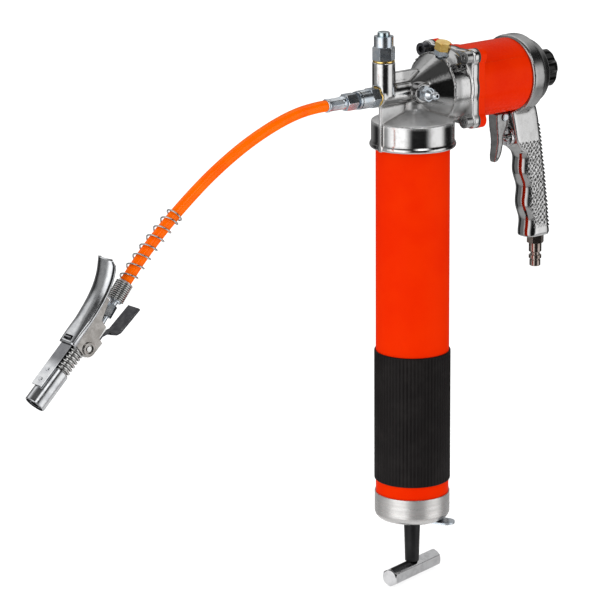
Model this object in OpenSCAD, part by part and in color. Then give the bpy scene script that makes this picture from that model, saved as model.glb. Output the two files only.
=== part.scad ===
/* [Barrel] */
// Outside diameter of the grease barrel
barrel_d = 57; // [54:0.5:59]
// Wall of the barrel tube
barrel_wall = 1.2; // [0.8:0.1:2]
// Bare length of the barrel between the head and the end cap
barrel_h = 275.5; // [240:0.5:320]
// Depth that the barrel screws into the head
barrel_seat = 16.5; // [13:0.5:18]
// Length of the rubber sleeve round the barrel
sleeve_h = 104.3; // [60:0.1:150]
// Thickness of the rubber sleeve
sleeve_t = 1.2; // [0.8:0.1:2]
// Bare barrel left between the rubber sleeve and the end cap
sleeve_gap = 10.5; // [4:0.5:30]
// Number of flutes round the rubber sleeve
flute_n = 60; // [24:1:80]
// Height of the end cap
cap_h = 21.5; // [16:0.5:30]
// Wall of the end cap
cap_wall = 0.9; // [0.7:0.1:1.6]
// Floor of the end cap
cap_floor = 2; // [1.5:0.1:3]

/* [Follower and rod] */
// Diameter of the follower rod
rod_d = 6; // [5:0.5:7]
// Outside diameter of the black hand shank at its top
shank_d = 13; // [11:0.5:16]
// Outside diameter of the black hand shank at its bottom
shank_foot_d = 11; // [9.5:0.5:13]
// Length of the black hand shank
shank_h = 34; // [24:0.5:45]
// Size across the flats of the T-handle bar
tee_af = 13; // [11:0.5:16]
// Length of the T-handle bar
tee_l = 61; // [45:1:80]
// Turn of the T-handle about the rod, in degrees
tee_turn = 13; // [0:1:45]
// Length of the follower cup
follower_h = 12; // [9:0.5:16]
// Wire of the follower spring
main_wire = 1.8; // [1.4:0.1:2.2]
// Curls of the follower spring
main_turns = 18; // [12:1:20]
// Thickness of the rod lock plate
lock_t = 1.6; // [1.2:0.1:2.4]
// Width of the rod lock plate's thumb tab
lock_w = 14; // [10:0.5:18]
// Reach of the rod lock plate's thumb tab from the rod
lock_reach = 36; // [33:0.5:42]

/* [Head casting] */
// Outside diameter of the head's collar
collar_d = 64; // [62:0.5:68]
// Height of the head's collar
collar_h = 21.5; // [20:0.5:26]
// Outside diameter of the bead at the collar's foot
bead_d = 66.8; // [65.5:0.1:70]
// Height of the bead at the collar's foot
bead_h = 5; // [3:0.5:7]
// Height of the motor and outlet axis above the collar's foot
axis_h = 43.2; // [40:0.1:48]
// Diameter of the outlet tube
tube_d = 16; // [15:0.5:18]
// Distance of the outlet tube's end from the barrel axis
outlet_x = 36.3; // [36:0.1:45]
// Diameter of the relief riser
riser_d = 17.6; // [16.5:0.1:19]
// Height of the relief riser above the motor axis
riser_h = 26.3; // [20:0.1:35]
// Thickness of the casting's webs
web_t = 3.6; // [3:0.1:5]
// Diameter of the pump cone at its wide end
cone_d = 54.4; // [50:0.1:58]
// Distance of the flange face from the barrel axis
flange_x = 40.9; // [39:0.1:50]
// Thickness of the head's eared flange
flange_t = 5.3; // [4:0.1:8]
// Diameter of the circle of flange screws
screw_pcd = 69.7; // [68:0.1:74]
// Radius of each flange ear
ear_r = 6.4; // [5.5:0.1:8]

/* [Motor] */
// Outside diameter of the air motor cylinder
motor_d = 57.3; // [56:0.1:60]
// Bore of the air motor cylinder
motor_bore = 50; // [46:0.5:51]
// Distance of the motor cylinder's rear end from the barrel axis
motor_end_x = 98.2; // [96:0.1:110]
// Thickness of the motor cylinder's eared flange
motor_flange_t = 6; // [5:0.1:8]
// Diameter of the pump plunger
plunger_d = 9.5; // [8:0.1:10]
// Stroke of the air piston and plunger
stroke = 22; // [15:0.5:23]
// Thickness of the air piston
piston_t = 9; // [7:0.5:11]
// Diameter of the aluminium rear cap
rear_d = 62; // [60:0.5:66]
// Length of the aluminium rear cap's rim
rear_l = 13.8; // [10:0.1:18]
// Diameter of the star knob
knob_d = 31; // [24:0.5:34]
// Lobes of the star knob
knob_lobes = 7; // [5:1:9]
// Thickness of the star knob
knob_t = 18; // [12:0.5:22]

/* [Handle] */
// Height of the handle from its root in the rear cap to its foot
handle_h = 108; // [90:1:125]
// Width of the handle across the palm
handle_w = 20; // [17:0.5:26]
// Depth of the handle from finger side to palm side
handle_depth = 23.5; // [20:0.5:30]
// Depth of the root block that carries the trigger and valve
root_depth = 27.5; // [25:0.5:32]
// How far the handle's foot lies behind its root
handle_lean = 17.6; // [8:0.5:26]
// Number of finger grooves
groove_n = 3; // [2:1:4]
// Depth of each finger groove
groove_depth = 2.8; // [1:0.1:4]
// Width of the trigger
trigger_w = 10.4; // [9:0.1:12]
// Length of the trigger
trigger_h = 39; // [32:0.5:46]
// Sheet thickness of the trigger
trigger_t = 1.3; // [1:0.1:1.6]
// Outside diameter of the valve nut behind the trigger
valve_d = 15; // [13:0.5:17]
// Diameter of the valve stem
stem_d = 4; // [3:0.5:4.5]
// Size across the flats of the air plug
plug_af = 12; // [11:0.5:14]
// Diameter of the air plug's nose
plug_d = 8.8; // [7:0.1:10]

/* [Relief valve and outlet] */
// Size across the flats of the relief valve's hex
relief_af = 15.2; // [14:0.1:17]
// Diameter of the relief valve's collar
relief_d = 14.9; // [13.5:0.1:15]
// Diameter of the relief button
button_d = 9.4; // [7:0.1:10]
// Travel of the relief button
button_travel = 2.2; // [1:0.1:2.4]
// Size across the flats of the outlet adapter's hex
adapter_af = 14; // [12:0.5:16]
// Size across the flats of the hose's swivel nut
swivel_af = 12; // [10.5:0.5:14]
// Outside diameter of the hose's crimped ferrule
ferrule_d = 10.4; // [9.8:0.1:13]

/* [Hose] */
// Outside diameter of the hose
hose_d = 8.6; // [7:0.1:9]
// Wire of the loose guard spring
guard_wire = 1.3; // [1:0.1:1.6]
// Curls of the loose guard spring
guard_turns = 7; // [4:1:10]
// Outside diameter of the loose guard spring
guard_d = 13.2; // [12.8:0.1:15]
// Wire of the closely wound end spring
strain_wire = 1; // [0.8:0.1:1.2]
// Curls of the closely wound end spring
strain_turns = 10; // [6:1:11]

/* [Coupler] */
// Slope of the hanging coupler below the horizontal, in degrees
coupler_slope = 43; // [20:1:70]
// Outside diameter of the coupler's sliding sleeve
sleeve_d = 15.9; // [15:0.1:18]
// Length of the coupler's sliding sleeve
sleeve_l = 30; // [24:0.5:36]
// Wall of the coupler's sliding sleeve
sleeve_wall = 1; // [0.7:0.1:1.4]
// Bore of the coupler's jaws, for the head of a grease nipple
mouth_d = 6.6; // [6:0.1:7]
// Wire of the coupler spring
coupler_wire = 1.6; // [1.2:0.1:1.9]
// Curls of the coupler spring
coupler_turns = 5; // [4:1:6]
// Width of the coupler's long lever
lever_w = 17; // [16:0.5:20]
// Sheet thickness of the coupler's long lever
lever_t = 1.4; // [1:0.1:1.6]
// Width of the coupler's fixed finger rest
rest_w = 13.2; // [11:0.1:14]

/* [Hidden] */

$fn = 64;
// Overrun of every cut past the face it leaves
cut = 1;
// Radial clearance where a fixed piece is pushed into its seat
push_fit = 0.03;
// Radial clearance of a sliding or turning fit
slide_fit = 0.05;
// Air between pieces that move past each other
gap = 0.4;
// Rings along one curl of a spring, and sides of its wire
curl_rings = 8;
wire_sides = 6;

// Colours, as the photograph shows them
paint_red = [0.90, 0.20, 0.05];
hose_orange = [0.98, 0.42, 0.05];
cast_grey = [0.72, 0.73, 0.75];
zinc_grey = [0.78, 0.82, 0.86];
steel_grey = [0.62, 0.63, 0.66];
dull_grey = [0.55, 0.54, 0.52];
brass_gold = [0.82, 0.64, 0.28];
rubber_black = [0.08, 0.08, 0.09];

// Barrel and end cap
barrel_r = barrel_d / 2;
bore_r = barrel_r - barrel_wall;
gasket_t = 1.5;
gasket_w = 4;
ceiling_z = barrel_seat + gasket_t;
cap_r = barrel_r + cap_wall;
cap_round = 6;
cap_z = -barrel_h - cap_h;
cap_inner_z = cap_z + cap_floor;
barrel_low_z = cap_z + cap_round;
sleeve_r = barrel_r + sleeve_t;
sleeve_z = -barrel_h + sleeve_gap;
flute_depth = sleeve_t * 0.4;

// Rod, lock plate and T-handle
rod_r = rod_d / 2;
gland_r = shank_d / 2;
gland_rim_r = gland_r + lock_t - gap;
gland_rim_t = cap_floor * 1.2;
lock_z = cap_z - gap - lock_t;
lock_bearing = -65.5;
lock_disc_r = lock_w * 0.95;
lock_hole_r = rod_r + gap;
rivet_r = 1.2;
rivet_head_r = rivet_r * 1.8;
rivet_x = shank_d / 2 + rivet_head_r + lock_t;
shank_gap = 1;
shank_z = lock_z - shank_gap;
shank_foot_z = shank_z - shank_h;
tee_z = shank_foot_z - tee_af / 2;
tee_chamfer = tee_af * 0.12;
rod_foot_z = tee_z - tee_af / 4;
rod_head_gap = 4;
rod_top_z = ceiling_z - rod_head_gap;
nut_h = rod_d * 0.7;
nut_af = rod_d * 1.7;
nut_z = rod_top_z - nut_h - rod_d / 6;
follower_z = nut_z - gap - follower_h;
follower_disc_t = 2;
follower_wall = 2.2;
main_r = bore_r - main_wire * 1.6;

// Head casting, with x along the motor and outlet axis
collar_r = collar_d / 2;
bead_r = bead_d / 2;
tube_r = tube_d / 2;
neck_r = tube_r * 1.2;
dome_h = 5.5;
cone_tip_x = -tube_r * 0.75;
cone_rim_l = 15.6;
cone_base_x = flange_x - flange_t - cone_rim_l;
cone_r = cone_d / 2;
flange_r = screw_pcd / 2 - ear_r * 0.81;
screw_r = 3;
screw_head_r = screw_r * 1.67;
screw_head_h = screw_r * 2;
feed_r = 4.2;
throat_r = feed_r * 0.65;
plunger_r = plunger_d / 2;
pump_bore_r = plunger_r + slide_fit;
tip_gap = 1.8;
tip_x = feed_r + tip_gap;
pump_end_x = tip_x - stroke - tip_gap;
check_r = tube_r * 0.65;
check_x = pump_end_x - throat_r;
ball_r = check_r * 0.68;
ball_x = check_x - sqrt(ball_r * ball_r - throat_r * throat_r) - slide_fit;
check_lift = 2;
check_wire = 0.7;
gland_boss_r = plunger_r * 2;
gland_depth = 10.9;
gland_boss_x = flange_x - gland_depth;
plunger_gland_r = plunger_r * 1.37;
plunger_gland_l = plunger_d;
cone_wall = 3.9;
cavity_r = cone_r - cone_wall;
gland_boss_l = 8;
cavity_x = gland_boss_x - gland_boss_l;

// Relief valve, on the riser
riser_over = 1.9;
riser_x = outlet_x - riser_d / 2 + riser_over;
riser_z = axis_h + riser_h;
washer_t = 1;
relief_hex_h = 10.5;
relief_collar_h = 8;
relief_spigot_h = 9;
relief_spigot_r = riser_d * 0.28;
relief_passage_r = relief_spigot_r * 0.5;
relief_hex_z = riser_z + washer_t;
relief_collar_z = relief_hex_z + relief_hex_h;
relief_top_z = relief_collar_z + relief_collar_h;
button_r = button_d / 2;
button_proud = 3.3;
button_skirt = 5;
relief_stem_r = relief_passage_r * 0.6;
relief_wire = 0.8;
button_well = button_skirt + relief_spring_h() + gap / 2;

// Grease nipple and bleeder
nipple_x = -1;
nipple_boss_d = 15.6;
nipple_boss_y = 14;
nipple_hex_af = 10.4;
nipple_hex_h = 6;
nipple_l = 29;
nipple_head_r = 3.25;
nipple_bore_r = 1.2;
nipple_spigot_r = nipple_hex_af * 0.28;
bleeder_x = cone_base_x + cone_rim_l * 0.2;
bleeder_angle = 14;
bleeder_af = 10.2;
bleeder_seat_h = 4.2;
bleeder_plug_h = 6.4;
bleeder_sink = 0.8;

// Motor, piston and rear cap
motor_r = motor_d / 2;
motor_bore_r = motor_bore / 2;
motor_gasket_t = 0.8;
motor_x = flange_x + motor_gasket_t;
panel_t = 0.5;
spigot_l = 4.2;
piston_gap = 1;
piston_x = motor_end_x - spigot_l - piston_gap - piston_t;
piston_groove = piston_t * 0.42;
seal_depth = 2.4;
motor_wire = 2;
motor_turns = 7;
motor_spring_r = gland_boss_r + motor_wire * 1.7;
rear_r = rear_d / 2;
rear_round = 3;
rear_end_x = motor_end_x + rear_l;
rear_boss_r = rear_r * 0.84;
rear_boss_l = 9;
rear_face_x = rear_end_x + rear_boss_l;
rear_cavity_r = motor_bore_r * 0.8;
rear_cavity_l = 8;
cap_seal_r = 1.2;
knob_r = knob_d / 2;
knob_gap = 1;
knob_x = rear_face_x + knob_gap;
knob_stem_r = knob_d * 0.13;

// Handle, in shares of its height from its root down
handle_z = 18;
handle_foot_z = handle_z - handle_h;
handle_set = 22.4;
handle_back_x = motor_end_x + handle_set;
groove_start_share = 0.25;
root_end_share = 0.2;
handle_rings = 40;
corner_steps = 5;
front_round = handle_w * 0.3;
back_round = handle_w * 0.17;
foot_round = 2;

// Trigger and air valve
pin_lead = 6.7;
pin_drop = 3.85;
pin_x = motor_end_x - pin_lead;
pin_z = axis_h - motor_r - pin_drop;
pin_r = 2;
pin_head_r = pin_r * 1.6;
pin_head_t = 0.9;
trigger_reach = 8.7;
trigger_rise = 3.3;
trigger_dip = 1.8;
lug_w = trigger_w - 2 * trigger_t - 2 * gap;
valve_drop = 17.2;
valve_z = pin_z - valve_drop;
valve_r = valve_d / 2;
valve_set = 5.6;
valve_x = pin_x + valve_set;
valve_rim_t = 3;
valve_body_r = valve_r * 0.8;
valve_body_l = 20;
valve_guide_l = 9;
valve_chamber_r = valve_body_r * 0.66;
stem_r = stem_d / 2;
stem_head_r = stem_r * 1.75;
stem_head_t = 2.5;
valve_wire = 0.7;
valve_boss_r = valve_r * 1.13;

// Air plug under the handle
plug_x = handle_back_x + handle_lean - handle_depth * 0.34;
plug_hex_h = 7;
plug_shank_h = 7;
plug_neck_h = 3;
plug_ring_h = 2.5;
plug_nose_h = 5;
plug_neck_r = plug_d * 0.42;
plug_ring_r = plug_d * 0.58;
plug_bore_r = plug_d * 0.3;
plug_thread_r = plug_af * 0.45;
plug_thread_h = 9;

// Outlet adapter, swivel nut and ferrule
adapter_hex_h = 8;
adapter_round_h = 9.4;
adapter_round_r = adapter_af * 0.515;
adapter_lip_h = 2.5;
adapter_lip_r = adapter_af * 0.49;
adapter_neck_h = 1.9;
adapter_neck_r = adapter_af * 0.29;
adapter_bore_r = adapter_af * 0.14;
adapter_spigot_h = 4.2;
adapter_spigot_r = check_r - push_fit;
adapter_x = -outlet_x - washer_t;
swivel_x = adapter_x - adapter_hex_h - adapter_round_h - adapter_lip_h - adapter_neck_h;
swivel_l = 9.8;
ferrule_x = swivel_x - swivel_l;
ferrule_l = 17.8;

// Route of the hose's centre line, from the ferrule to the coupler's strain spring
hose_drops = [
    [0, 0], [-10, 0.2], [-23, 1.4], [-36, 4], [-49, 7.8], [-62, 12.5], [-75, 18], [-88, 24.4],
    [-101, 31.6], [-113, 39], [-125, 47.2], [-137, 56], [-149, 65.4], [-160, 74.7], [-170, 83.8],
    [-179, 92.8], [-188, 102.5],
];
hose_route = [for (p = hose_drops) [ferrule_x - ferrule_l + p[0], 0, axis_h - p[1]]];
hose_r = hose_d / 2;
hose_sides = 12;
guard_r = (guard_d - guard_wire) / 2;
guard_l = 62;
guard_closed_turns = 1;
crimp_t = 0.8;
fitting_crimp_r = hose_r + crimp_t;
strain_r = (fitting_crimp_r + strain_wire / 2 + slide_fit) / cos(180 / curl_rings);
strain_pitch = strain_wire * 1.5;
strain_l = strain_pitch * (strain_turns + 1);

// Coupler, drawn along +x from its mouth to the hose, with the long lever above
inlet_tilt = 7;
inlet_s = 76;
inlet_t = -5.2;
fitting_stem_l = 7;
fitting_stem_r = 2.3;
fitting_hex_l = 9.5;
fitting_hex_af = 7.6;
fitting_neck_l = 3;
fitting_neck_r = 3;
fitting_l = fitting_stem_l + fitting_hex_l + fitting_neck_l;
fitting_end = fitting_l + strain_l;
sleeve_r_out = sleeve_d / 2;
sleeve_r_in = sleeve_r_out - sleeve_wall;
sleeve_rim_t = 2.7;
core_r = sleeve_d * 0.35;
jaw_r = sleeve_r_in * 0.89;
jaw_l = 13;
jaw_slots = 4;
jaw_slot_w = 0.8;
mouth_l = 8;
core_bore_r = core_r * 0.4;
block_s = 49;
block_l = inlet_s - block_s;
block_w = 11;
block_top = 6;
block_low = -8;
spring_r = sleeve_r_in + slide_fit;
eye_s = 54.9;
eye_t = -4.6;
eye_pin_r = 2;
eye_r = 5;
eye_rim_t = 1.2;
eye_hollow_r = eye_r * 0.66;
lever_s = 48;
lever_l = 63.6;
lever_low = 11;
lever_slope = 5;
lever_sweep = 11.8;
lever_rim = 4.6;
lever_steps = 16;
bracket_w = lever_w - 2 * lever_t - 2 * push_fit;
bracket_t = 1.2;
slot_s = 52.4;
slot_l = 3.6;
slot_w = 9;
strap_w = 10.8;
strap_t = 1.2;
strap_s = 11;
strap_rivet_r = strap_t * 1.3;
strap_low = sleeve_r_out + gap / 2;
hook_w = 7;
rest_t = 1.5;
rest_neck_w = block_w - gap / 2;
rest_l = 27;

// Helpers

function unit(v) = v / norm(v);
function mix(a, b, k) = a + (b - a) * k;
function smooth(k) = let (c = min(max(k, 0), 1)) c * c * (3 - 2 * c);
function flat(lists) = [for (l = lists) each l];
function arc(x, y, r, from, to, steps) =
    [for (i = [0 : steps]) let (a = mix(from, to, i / steps)) [x + r * cos(a), y + r * sin(a)]];
function relief_spring_h() = button_travel * 2 + relief_wire * 3;

// Rings of a tube of radius r along points, each ring turned to its own reference direction
function tube_rings(points, refs, r, sides) =
    let (last = len(points) - 1)
    [for (i = [0 : last])
        let (along = unit(points[min(i + 1, last)] - points[max(i - 1, 0)]),
             side = unit(refs[i] - (refs[i] * along) * along),
             across = cross(along, side))
        [for (j = [0 : sides - 1])
            let (a = 360 * j / sides) points[i] + r * (cos(a) * side + sin(a) * across)]];

// Closed skin over rings of equal length
module skin(rings) {
    n = len(rings[0]);
    last = len(rings) - 1;
    sides = [for (i = [0 : last - 1], j = [0 : n - 1])
        let (a = i * n + j, b = i * n + (j + 1) % n, c = a + n, d = b + n)
        each [[a, b, d], [a, d, c]]];
    ends = [for (j = [1 : n - 2]) each [[0, j + 1, j], [last * n, last * n + j, last * n + j + 1]]];
    polyhedron(points = flat(rings), faces = [for (f = concat(sides, ends)) [f[0], f[2], f[1]]]);
}

// Points of a round helix along +x, with its ends run straight on for one wire
function helix(r, length, turns, wire) =
    let (n = turns * curl_rings,
         ring = function (i) let (a = 360 * i / curl_rings) [length * i / n, r * cos(a), r * sin(a)],
         start = ring(0), finish = ring(n),
         turn = unit([length / turns / 2 / PI, 0, r]))
    concat([start - wire * turn], [for (i = [0 : n]) ring(i)], [finish + wire * turn]);
function helix_refs(points) = [for (p = points) [0, p[1], p[2]]];

// Least distance from a wire's surface to its own next curl
function self_gap(points, wire) =
    min([for (i = [0 : len(points) - curl_rings - 2], j = [-1 : 1])
        norm(points[i] - points[i + curl_rings + j])]) - wire;

// Coil spring along +x between two faces, clear of both
module spring(r, wire, length, turns) {
    points = helix(r, length - wire - gap, turns, wire);
    translate([(wire + gap) / 2, 0, 0])
        skin(tube_rings(points, helix_refs(points), wire / 2, wire_sides));
}

// Stands a shape's +z along the motor and outlet axis, from a distance x
module on_axis(x) {
    translate([x, 0, axis_h]) rotate([0, 90, 0]) children();
}

// Turns a shape's +x up the barrel axis, from a height z
module up_from(z) {
    translate([0, 0, z]) rotate([0, -90, 0]) children();
}

module ring(r_out, r_in, h) {
    difference() {
        cylinder(r = r_out, h = h);
        translate([0, 0, -cut]) cylinder(r = r_in, h = h + 2 * cut);
    }
}

// Hexagonal bar with its edges turned round at both ends
module hex_bar(af, h) {
    corner_r = af / sqrt(3);
    turned = corner_r - af / 2;
    intersection() {
        rotate([0, 0, 30]) cylinder(r = corner_r, h = h, $fn = 6);
        rotate_extrude() polygon([[0, 0], [af / 2, 0], [corner_r, turned / 2],
            [corner_r, h - turned / 2], [af / 2, h], [0, h]]);
    }
}

// Outline of a bent strip of thickness t along a line of points
function strip_outline(points, t) =
    let (last = len(points) - 1,
         normals = [for (i = [0 : last])
            let (d = unit(points[min(i + 1, last)] - points[max(i - 1, 0)])) [-d[1], d[0]]])
    concat([for (i = [0 : last]) points[i] + normals[i] * t / 2],
           [for (i = [last : -1 : 0]) points[i] - normals[i] * t / 2]);

// Plate of a given width across y, from an outline in x and z
module side_plate(points, width) {
    rotate([90, 0, 0]) linear_extrude(width, center = true) polygon(points);
}

// Barrel

module barrel_tube() {
    color(paint_red) translate([0, 0, barrel_low_z]) ring(barrel_r, bore_r, barrel_seat - barrel_low_z);
}

module barrel_gasket() {
    color(rubber_black) translate([0, 0, barrel_seat]) ring(barrel_r, barrel_r - gasket_w, gasket_t);
}

module barrel_sleeve() {
    color(rubber_black) translate([0, 0, sleeve_z]) difference() {
        linear_extrude(sleeve_h) polygon([for (i = [0 : 2 * flute_n - 1])
            let (a = 180 * i / flute_n, r = sleeve_r - flute_depth * (i % 2)) [r * cos(a), r * sin(a)]]);
        translate([0, 0, -cut]) cylinder(r = barrel_r + push_fit, h = sleeve_h + 2 * cut, $fn = 4 * flute_n);
    }
}

module end_cap() {
    inner_round = cap_round - cap_floor;
    corner_x = cap_r - cap_round;
    color(steel_grey) difference() {
        rotate_extrude() polygon(concat(
            [[gland_r + push_fit, cap_z]],
            arc(corner_x, cap_z + cap_round, cap_round, -90, 0, 6),
            [[cap_r, -barrel_h], [barrel_r + push_fit, -barrel_h], [barrel_r + push_fit, barrel_low_z]],
            arc(corner_x, cap_z + cap_round, inner_round, 0, -90, 5),
            [[gland_r + push_fit, cap_inner_z]]));
        lock_turn() translate([-rivet_x, 0, cap_z - cut])
            cylinder(r = rivet_r + push_fit, h = cap_floor + 2 * cut);
    }
}

module rod_gland() {
    color(steel_grey) rotate_extrude() polygon([
        [rod_r + slide_fit, cap_z], [gland_r, cap_z], [gland_r, cap_inner_z],
        [gland_rim_r, cap_inner_z], [gland_rim_r, cap_inner_z + gland_rim_t],
        [rod_r + slide_fit, cap_inner_z + gland_rim_t]]);
}

// Turns a shape drawn along +x to the bearing of the lock plate's tab
module lock_turn() {
    rotate([0, 0, lock_bearing]) children();
}

module lock_rivet() {
    head_z = lock_z - gap;
    color(steel_grey) lock_turn() translate([-rivet_x, 0, 0]) {
        translate([0, 0, head_z]) cylinder(r = rivet_r, h = cap_inner_z - head_z);
        translate([0, 0, head_z - rivet_r]) cylinder(r = rivet_head_r, h = rivet_r);
        translate([0, 0, cap_inner_z]) cylinder(r = rivet_head_r, h = rivet_r);
    }
}

module lock_plate() {
    tab_l = lock_reach - lock_w / 2;
    color(steel_grey) lock_turn() translate([0, 0, lock_z]) difference() {
        union() {
            cylinder(r = lock_disc_r, h = lock_t);
            translate([-rivet_x, 0, 0]) cylinder(r = rivet_head_r + gap, h = lock_t);
            translate([0, -lock_w / 2, 0]) cube([tab_l, lock_w, lock_t]);
            translate([tab_l, 0, 0]) cylinder(d = lock_w, h = lock_t);
        }
        translate([0, 0, -cut]) cylinder(r = lock_hole_r, h = lock_t + 2 * cut);
        translate([-rivet_x, 0, -cut]) cylinder(r = rivet_r + gap, h = lock_t + 2 * cut);
    }
}

// Follower and rod

module main_spring() {
    color(steel_grey) up_from(cap_inner_z) spring(main_r, main_wire, follower_z - cap_inner_z, main_turns);
}

module follower_plate() {
    color(steel_grey) translate([0, 0, follower_z])
        ring(bore_r - follower_wall - gap, rod_r + slide_fit, follower_disc_t);
}

module follower_cup() {
    inner_r = bore_r - follower_wall;
    color(rubber_black) translate([0, 0, follower_z + follower_disc_t]) {
        lip_h = follower_h - follower_disc_t;
        rotate_extrude() polygon([
            [rod_r + slide_fit, 0], [bore_r - slide_fit - follower_wall / 2, 0],
            [bore_r - slide_fit, follower_wall / 2], [bore_r - slide_fit, lip_h],
            [inner_r, lip_h], [inner_r - follower_wall, follower_wall + lip_h / 4],
            [rod_r + slide_fit, follower_wall + lip_h / 4]]);
    }
}

module follower_rod() {
    color(steel_grey) translate([0, 0, rod_foot_z]) cylinder(r = rod_r, h = rod_top_z - rod_foot_z);
}

module rod_nut() {
    color(zinc_grey) translate([0, 0, nut_z]) difference() {
        hex_bar(nut_af, nut_h);
        translate([0, 0, -cut]) cylinder(r = rod_r + push_fit, h = nut_h + 2 * cut);
    }
}

module rod_shank() {
    color(rubber_black) translate([0, 0, shank_foot_z]) difference() {
        cylinder(d1 = shank_foot_d, d2 = shank_d, h = shank_h);
        translate([0, 0, -cut]) cylinder(r = rod_r + push_fit, h = shank_h + 2 * cut);
    }
}

module tee_handle() {
    corner_r = tee_af / sqrt(3);
    color(steel_grey) difference() {
        translate([0, 0, tee_z]) rotate([0, 0, tee_turn]) rotate([0, 90, 0])
            translate([0, 0, -tee_l / 2]) intersection() {
                cylinder(r = corner_r, h = tee_l, $fn = 6);
                rotate_extrude() polygon([[0, 0], [corner_r - tee_chamfer, 0],
                    [corner_r, tee_chamfer], [corner_r, tee_l - tee_chamfer],
                    [corner_r - tee_chamfer, tee_l], [0, tee_l]]);
            }
        translate([0, 0, rod_foot_z]) cylinder(r = rod_r + push_fit, h = tee_af + cut);
        translate([0, 0, shank_foot_z]) cylinder(r = shank_foot_d / 2 + push_fit, h = corner_r);
    }
}

// Head casting

// Places a child at each flange screw, or at one of them
module at_screws(picks = [0 : 3]) {
    for (i = picks) rotate([0, 0, 45 + 90 * i]) translate([screw_pcd / 2, 0, 0]) children();
}

// Round plate with four ears, its screw holes left open
module eared_plate(t, hole_r) {
    reach = screw_pcd / 2 - flange_r * 0.8;
    linear_extrude(t) difference() {
        union() {
            circle(r = flange_r);
            at_screws() circle(r = ear_r);
            at_screws() polygon([[-reach, -flange_r * 0.57], [0, -ear_r * 0.96], [0, ear_r * 0.96],
                [-reach, flange_r * 0.57]]);
        }
        at_screws() circle(r = hole_r);
    }
}

module head_body() {
    bead = bead_h / 2;
    rim = collar_h * 0.07;
    rotate_extrude() polygon(concat(
        [[0, 0]],
        arc(bead_r - bead, bead, bead, -90, 90, 8),
        [[collar_r, bead_h], [collar_r, collar_h - rim]],
        arc(collar_r - rim, collar_h - rim, rim, 0, 65, 3),
        arc(neck_r + dome_h, collar_h + 2 * dome_h, dome_h, -105, -180, 5),
        [[neck_r, axis_h], [0, axis_h]]));
    on_axis(-outlet_x) cylinder(r = tube_r, h = outlet_x + flange_x / 2);
    translate([-riser_x, 0, axis_h]) cylinder(r = riser_d / 2, h = riser_h);
    on_axis(cone_tip_x) rotate_extrude() polygon(concat(
        [[0, 0], [tube_r, 0]],
        arc(cone_r - cone_wall, cone_base_x - cone_tip_x - cone_wall * 0.4, cone_wall, 40, 0, 4),
        [[cone_r, flange_x - cone_tip_x], [0, flange_x - cone_tip_x]]));
    on_axis(flange_x - flange_t) eared_plate(flange_t, screw_r + slide_fit);
    translate([nipple_x, 0, axis_h]) rotate([90, 0, 0]) cylinder(d = nipple_boss_d, h = nipple_boss_y);
    head_webs();
}

// Webs on the parting plane, under the outlet, over it and under the cone
module head_webs() {
    low_x = collar_r + web_t * 0.45;
    root_x = -outlet_x + web_t * 0.8;
    crest_x = cone_tip_x + web_t * 2.8;
    side_plate([[-low_x, 0], [-low_x, collar_h - web_t * 0.3], [root_x, collar_h + web_t * 1.1],
        [root_x, axis_h], [0, axis_h], [0, 0]], web_t);
    side_plate([[-riser_x, axis_h], [-riser_x, axis_h + tube_r + web_t * 2.5],
        [crest_x, axis_h + cone_r * 0.62], [crest_x, axis_h]], web_t);
    side_plate([[0, collar_h], [collar_r - web_t * 0.3, collar_h - web_t * 0.6],
        [collar_r - web_t * 1.1, axis_h - cone_r + web_t * 0.6], [0, axis_h]], web_t);
}

module head_casting() {
    color(cast_grey) difference() {
        head_body();
        translate([0, 0, -cut]) cylinder(r = barrel_r + push_fit, h = ceiling_z + cut);
        cylinder(r = feed_r, h = axis_h);
        on_axis(pump_end_x) cylinder(r = pump_bore_r, h = gland_boss_x - pump_end_x + cut);
        on_axis(gland_boss_x - plunger_gland_l)
            cylinder(r = plunger_gland_r + push_fit, h = plunger_gland_l + cut);
        on_axis(check_x - cut) cylinder(r = throat_r, h = pump_end_x - check_x + 2 * cut);
        on_axis(-outlet_x - cut) cylinder(r = check_r, h = check_x + outlet_x + cut);
        on_axis(-outlet_x - riser_over - cut) cylinder(r = adapter_af * 0.61, h = riser_over + cut);
        translate([-riser_x, 0, axis_h]) cylinder(r = relief_passage_r, h = riser_h);
        translate([-riser_x, 0, riser_z - relief_spigot_h])
            cylinder(r = relief_spigot_r + push_fit, h = relief_spigot_h + cut);
        on_axis(0) rotate_extrude() polygon([
            [gland_boss_r, cavity_x], [cavity_r, cavity_x], [cavity_r, flange_x + cut],
            [0, flange_x + cut], [0, gland_boss_x], [gland_boss_r, gland_boss_x]]);
        translate([nipple_x, 0, axis_h]) rotate([90, 0, 0]) {
            cylinder(r = nipple_spigot_r + push_fit, h = nipple_boss_y + cut);
            translate([0, 0, nipple_boss_y]) cylinder(r = nipple_hex_af * 0.61, h = nipple_hex_h);
        }
        bleeder_turn(0) cylinder(r = bleeder_af * 0.32 + push_fit, h = cone_r + cut);
        bleeder_turn(cone_r - bleeder_sink) cylinder(r = bleeder_af * 0.62, h = cone_r);
    }
}

module outlet_washer() {
    color(brass_gold) on_axis(-outlet_x - washer_t)
        ring(adapter_af * 0.54, adapter_spigot_r + push_fit, washer_t);
}

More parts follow.
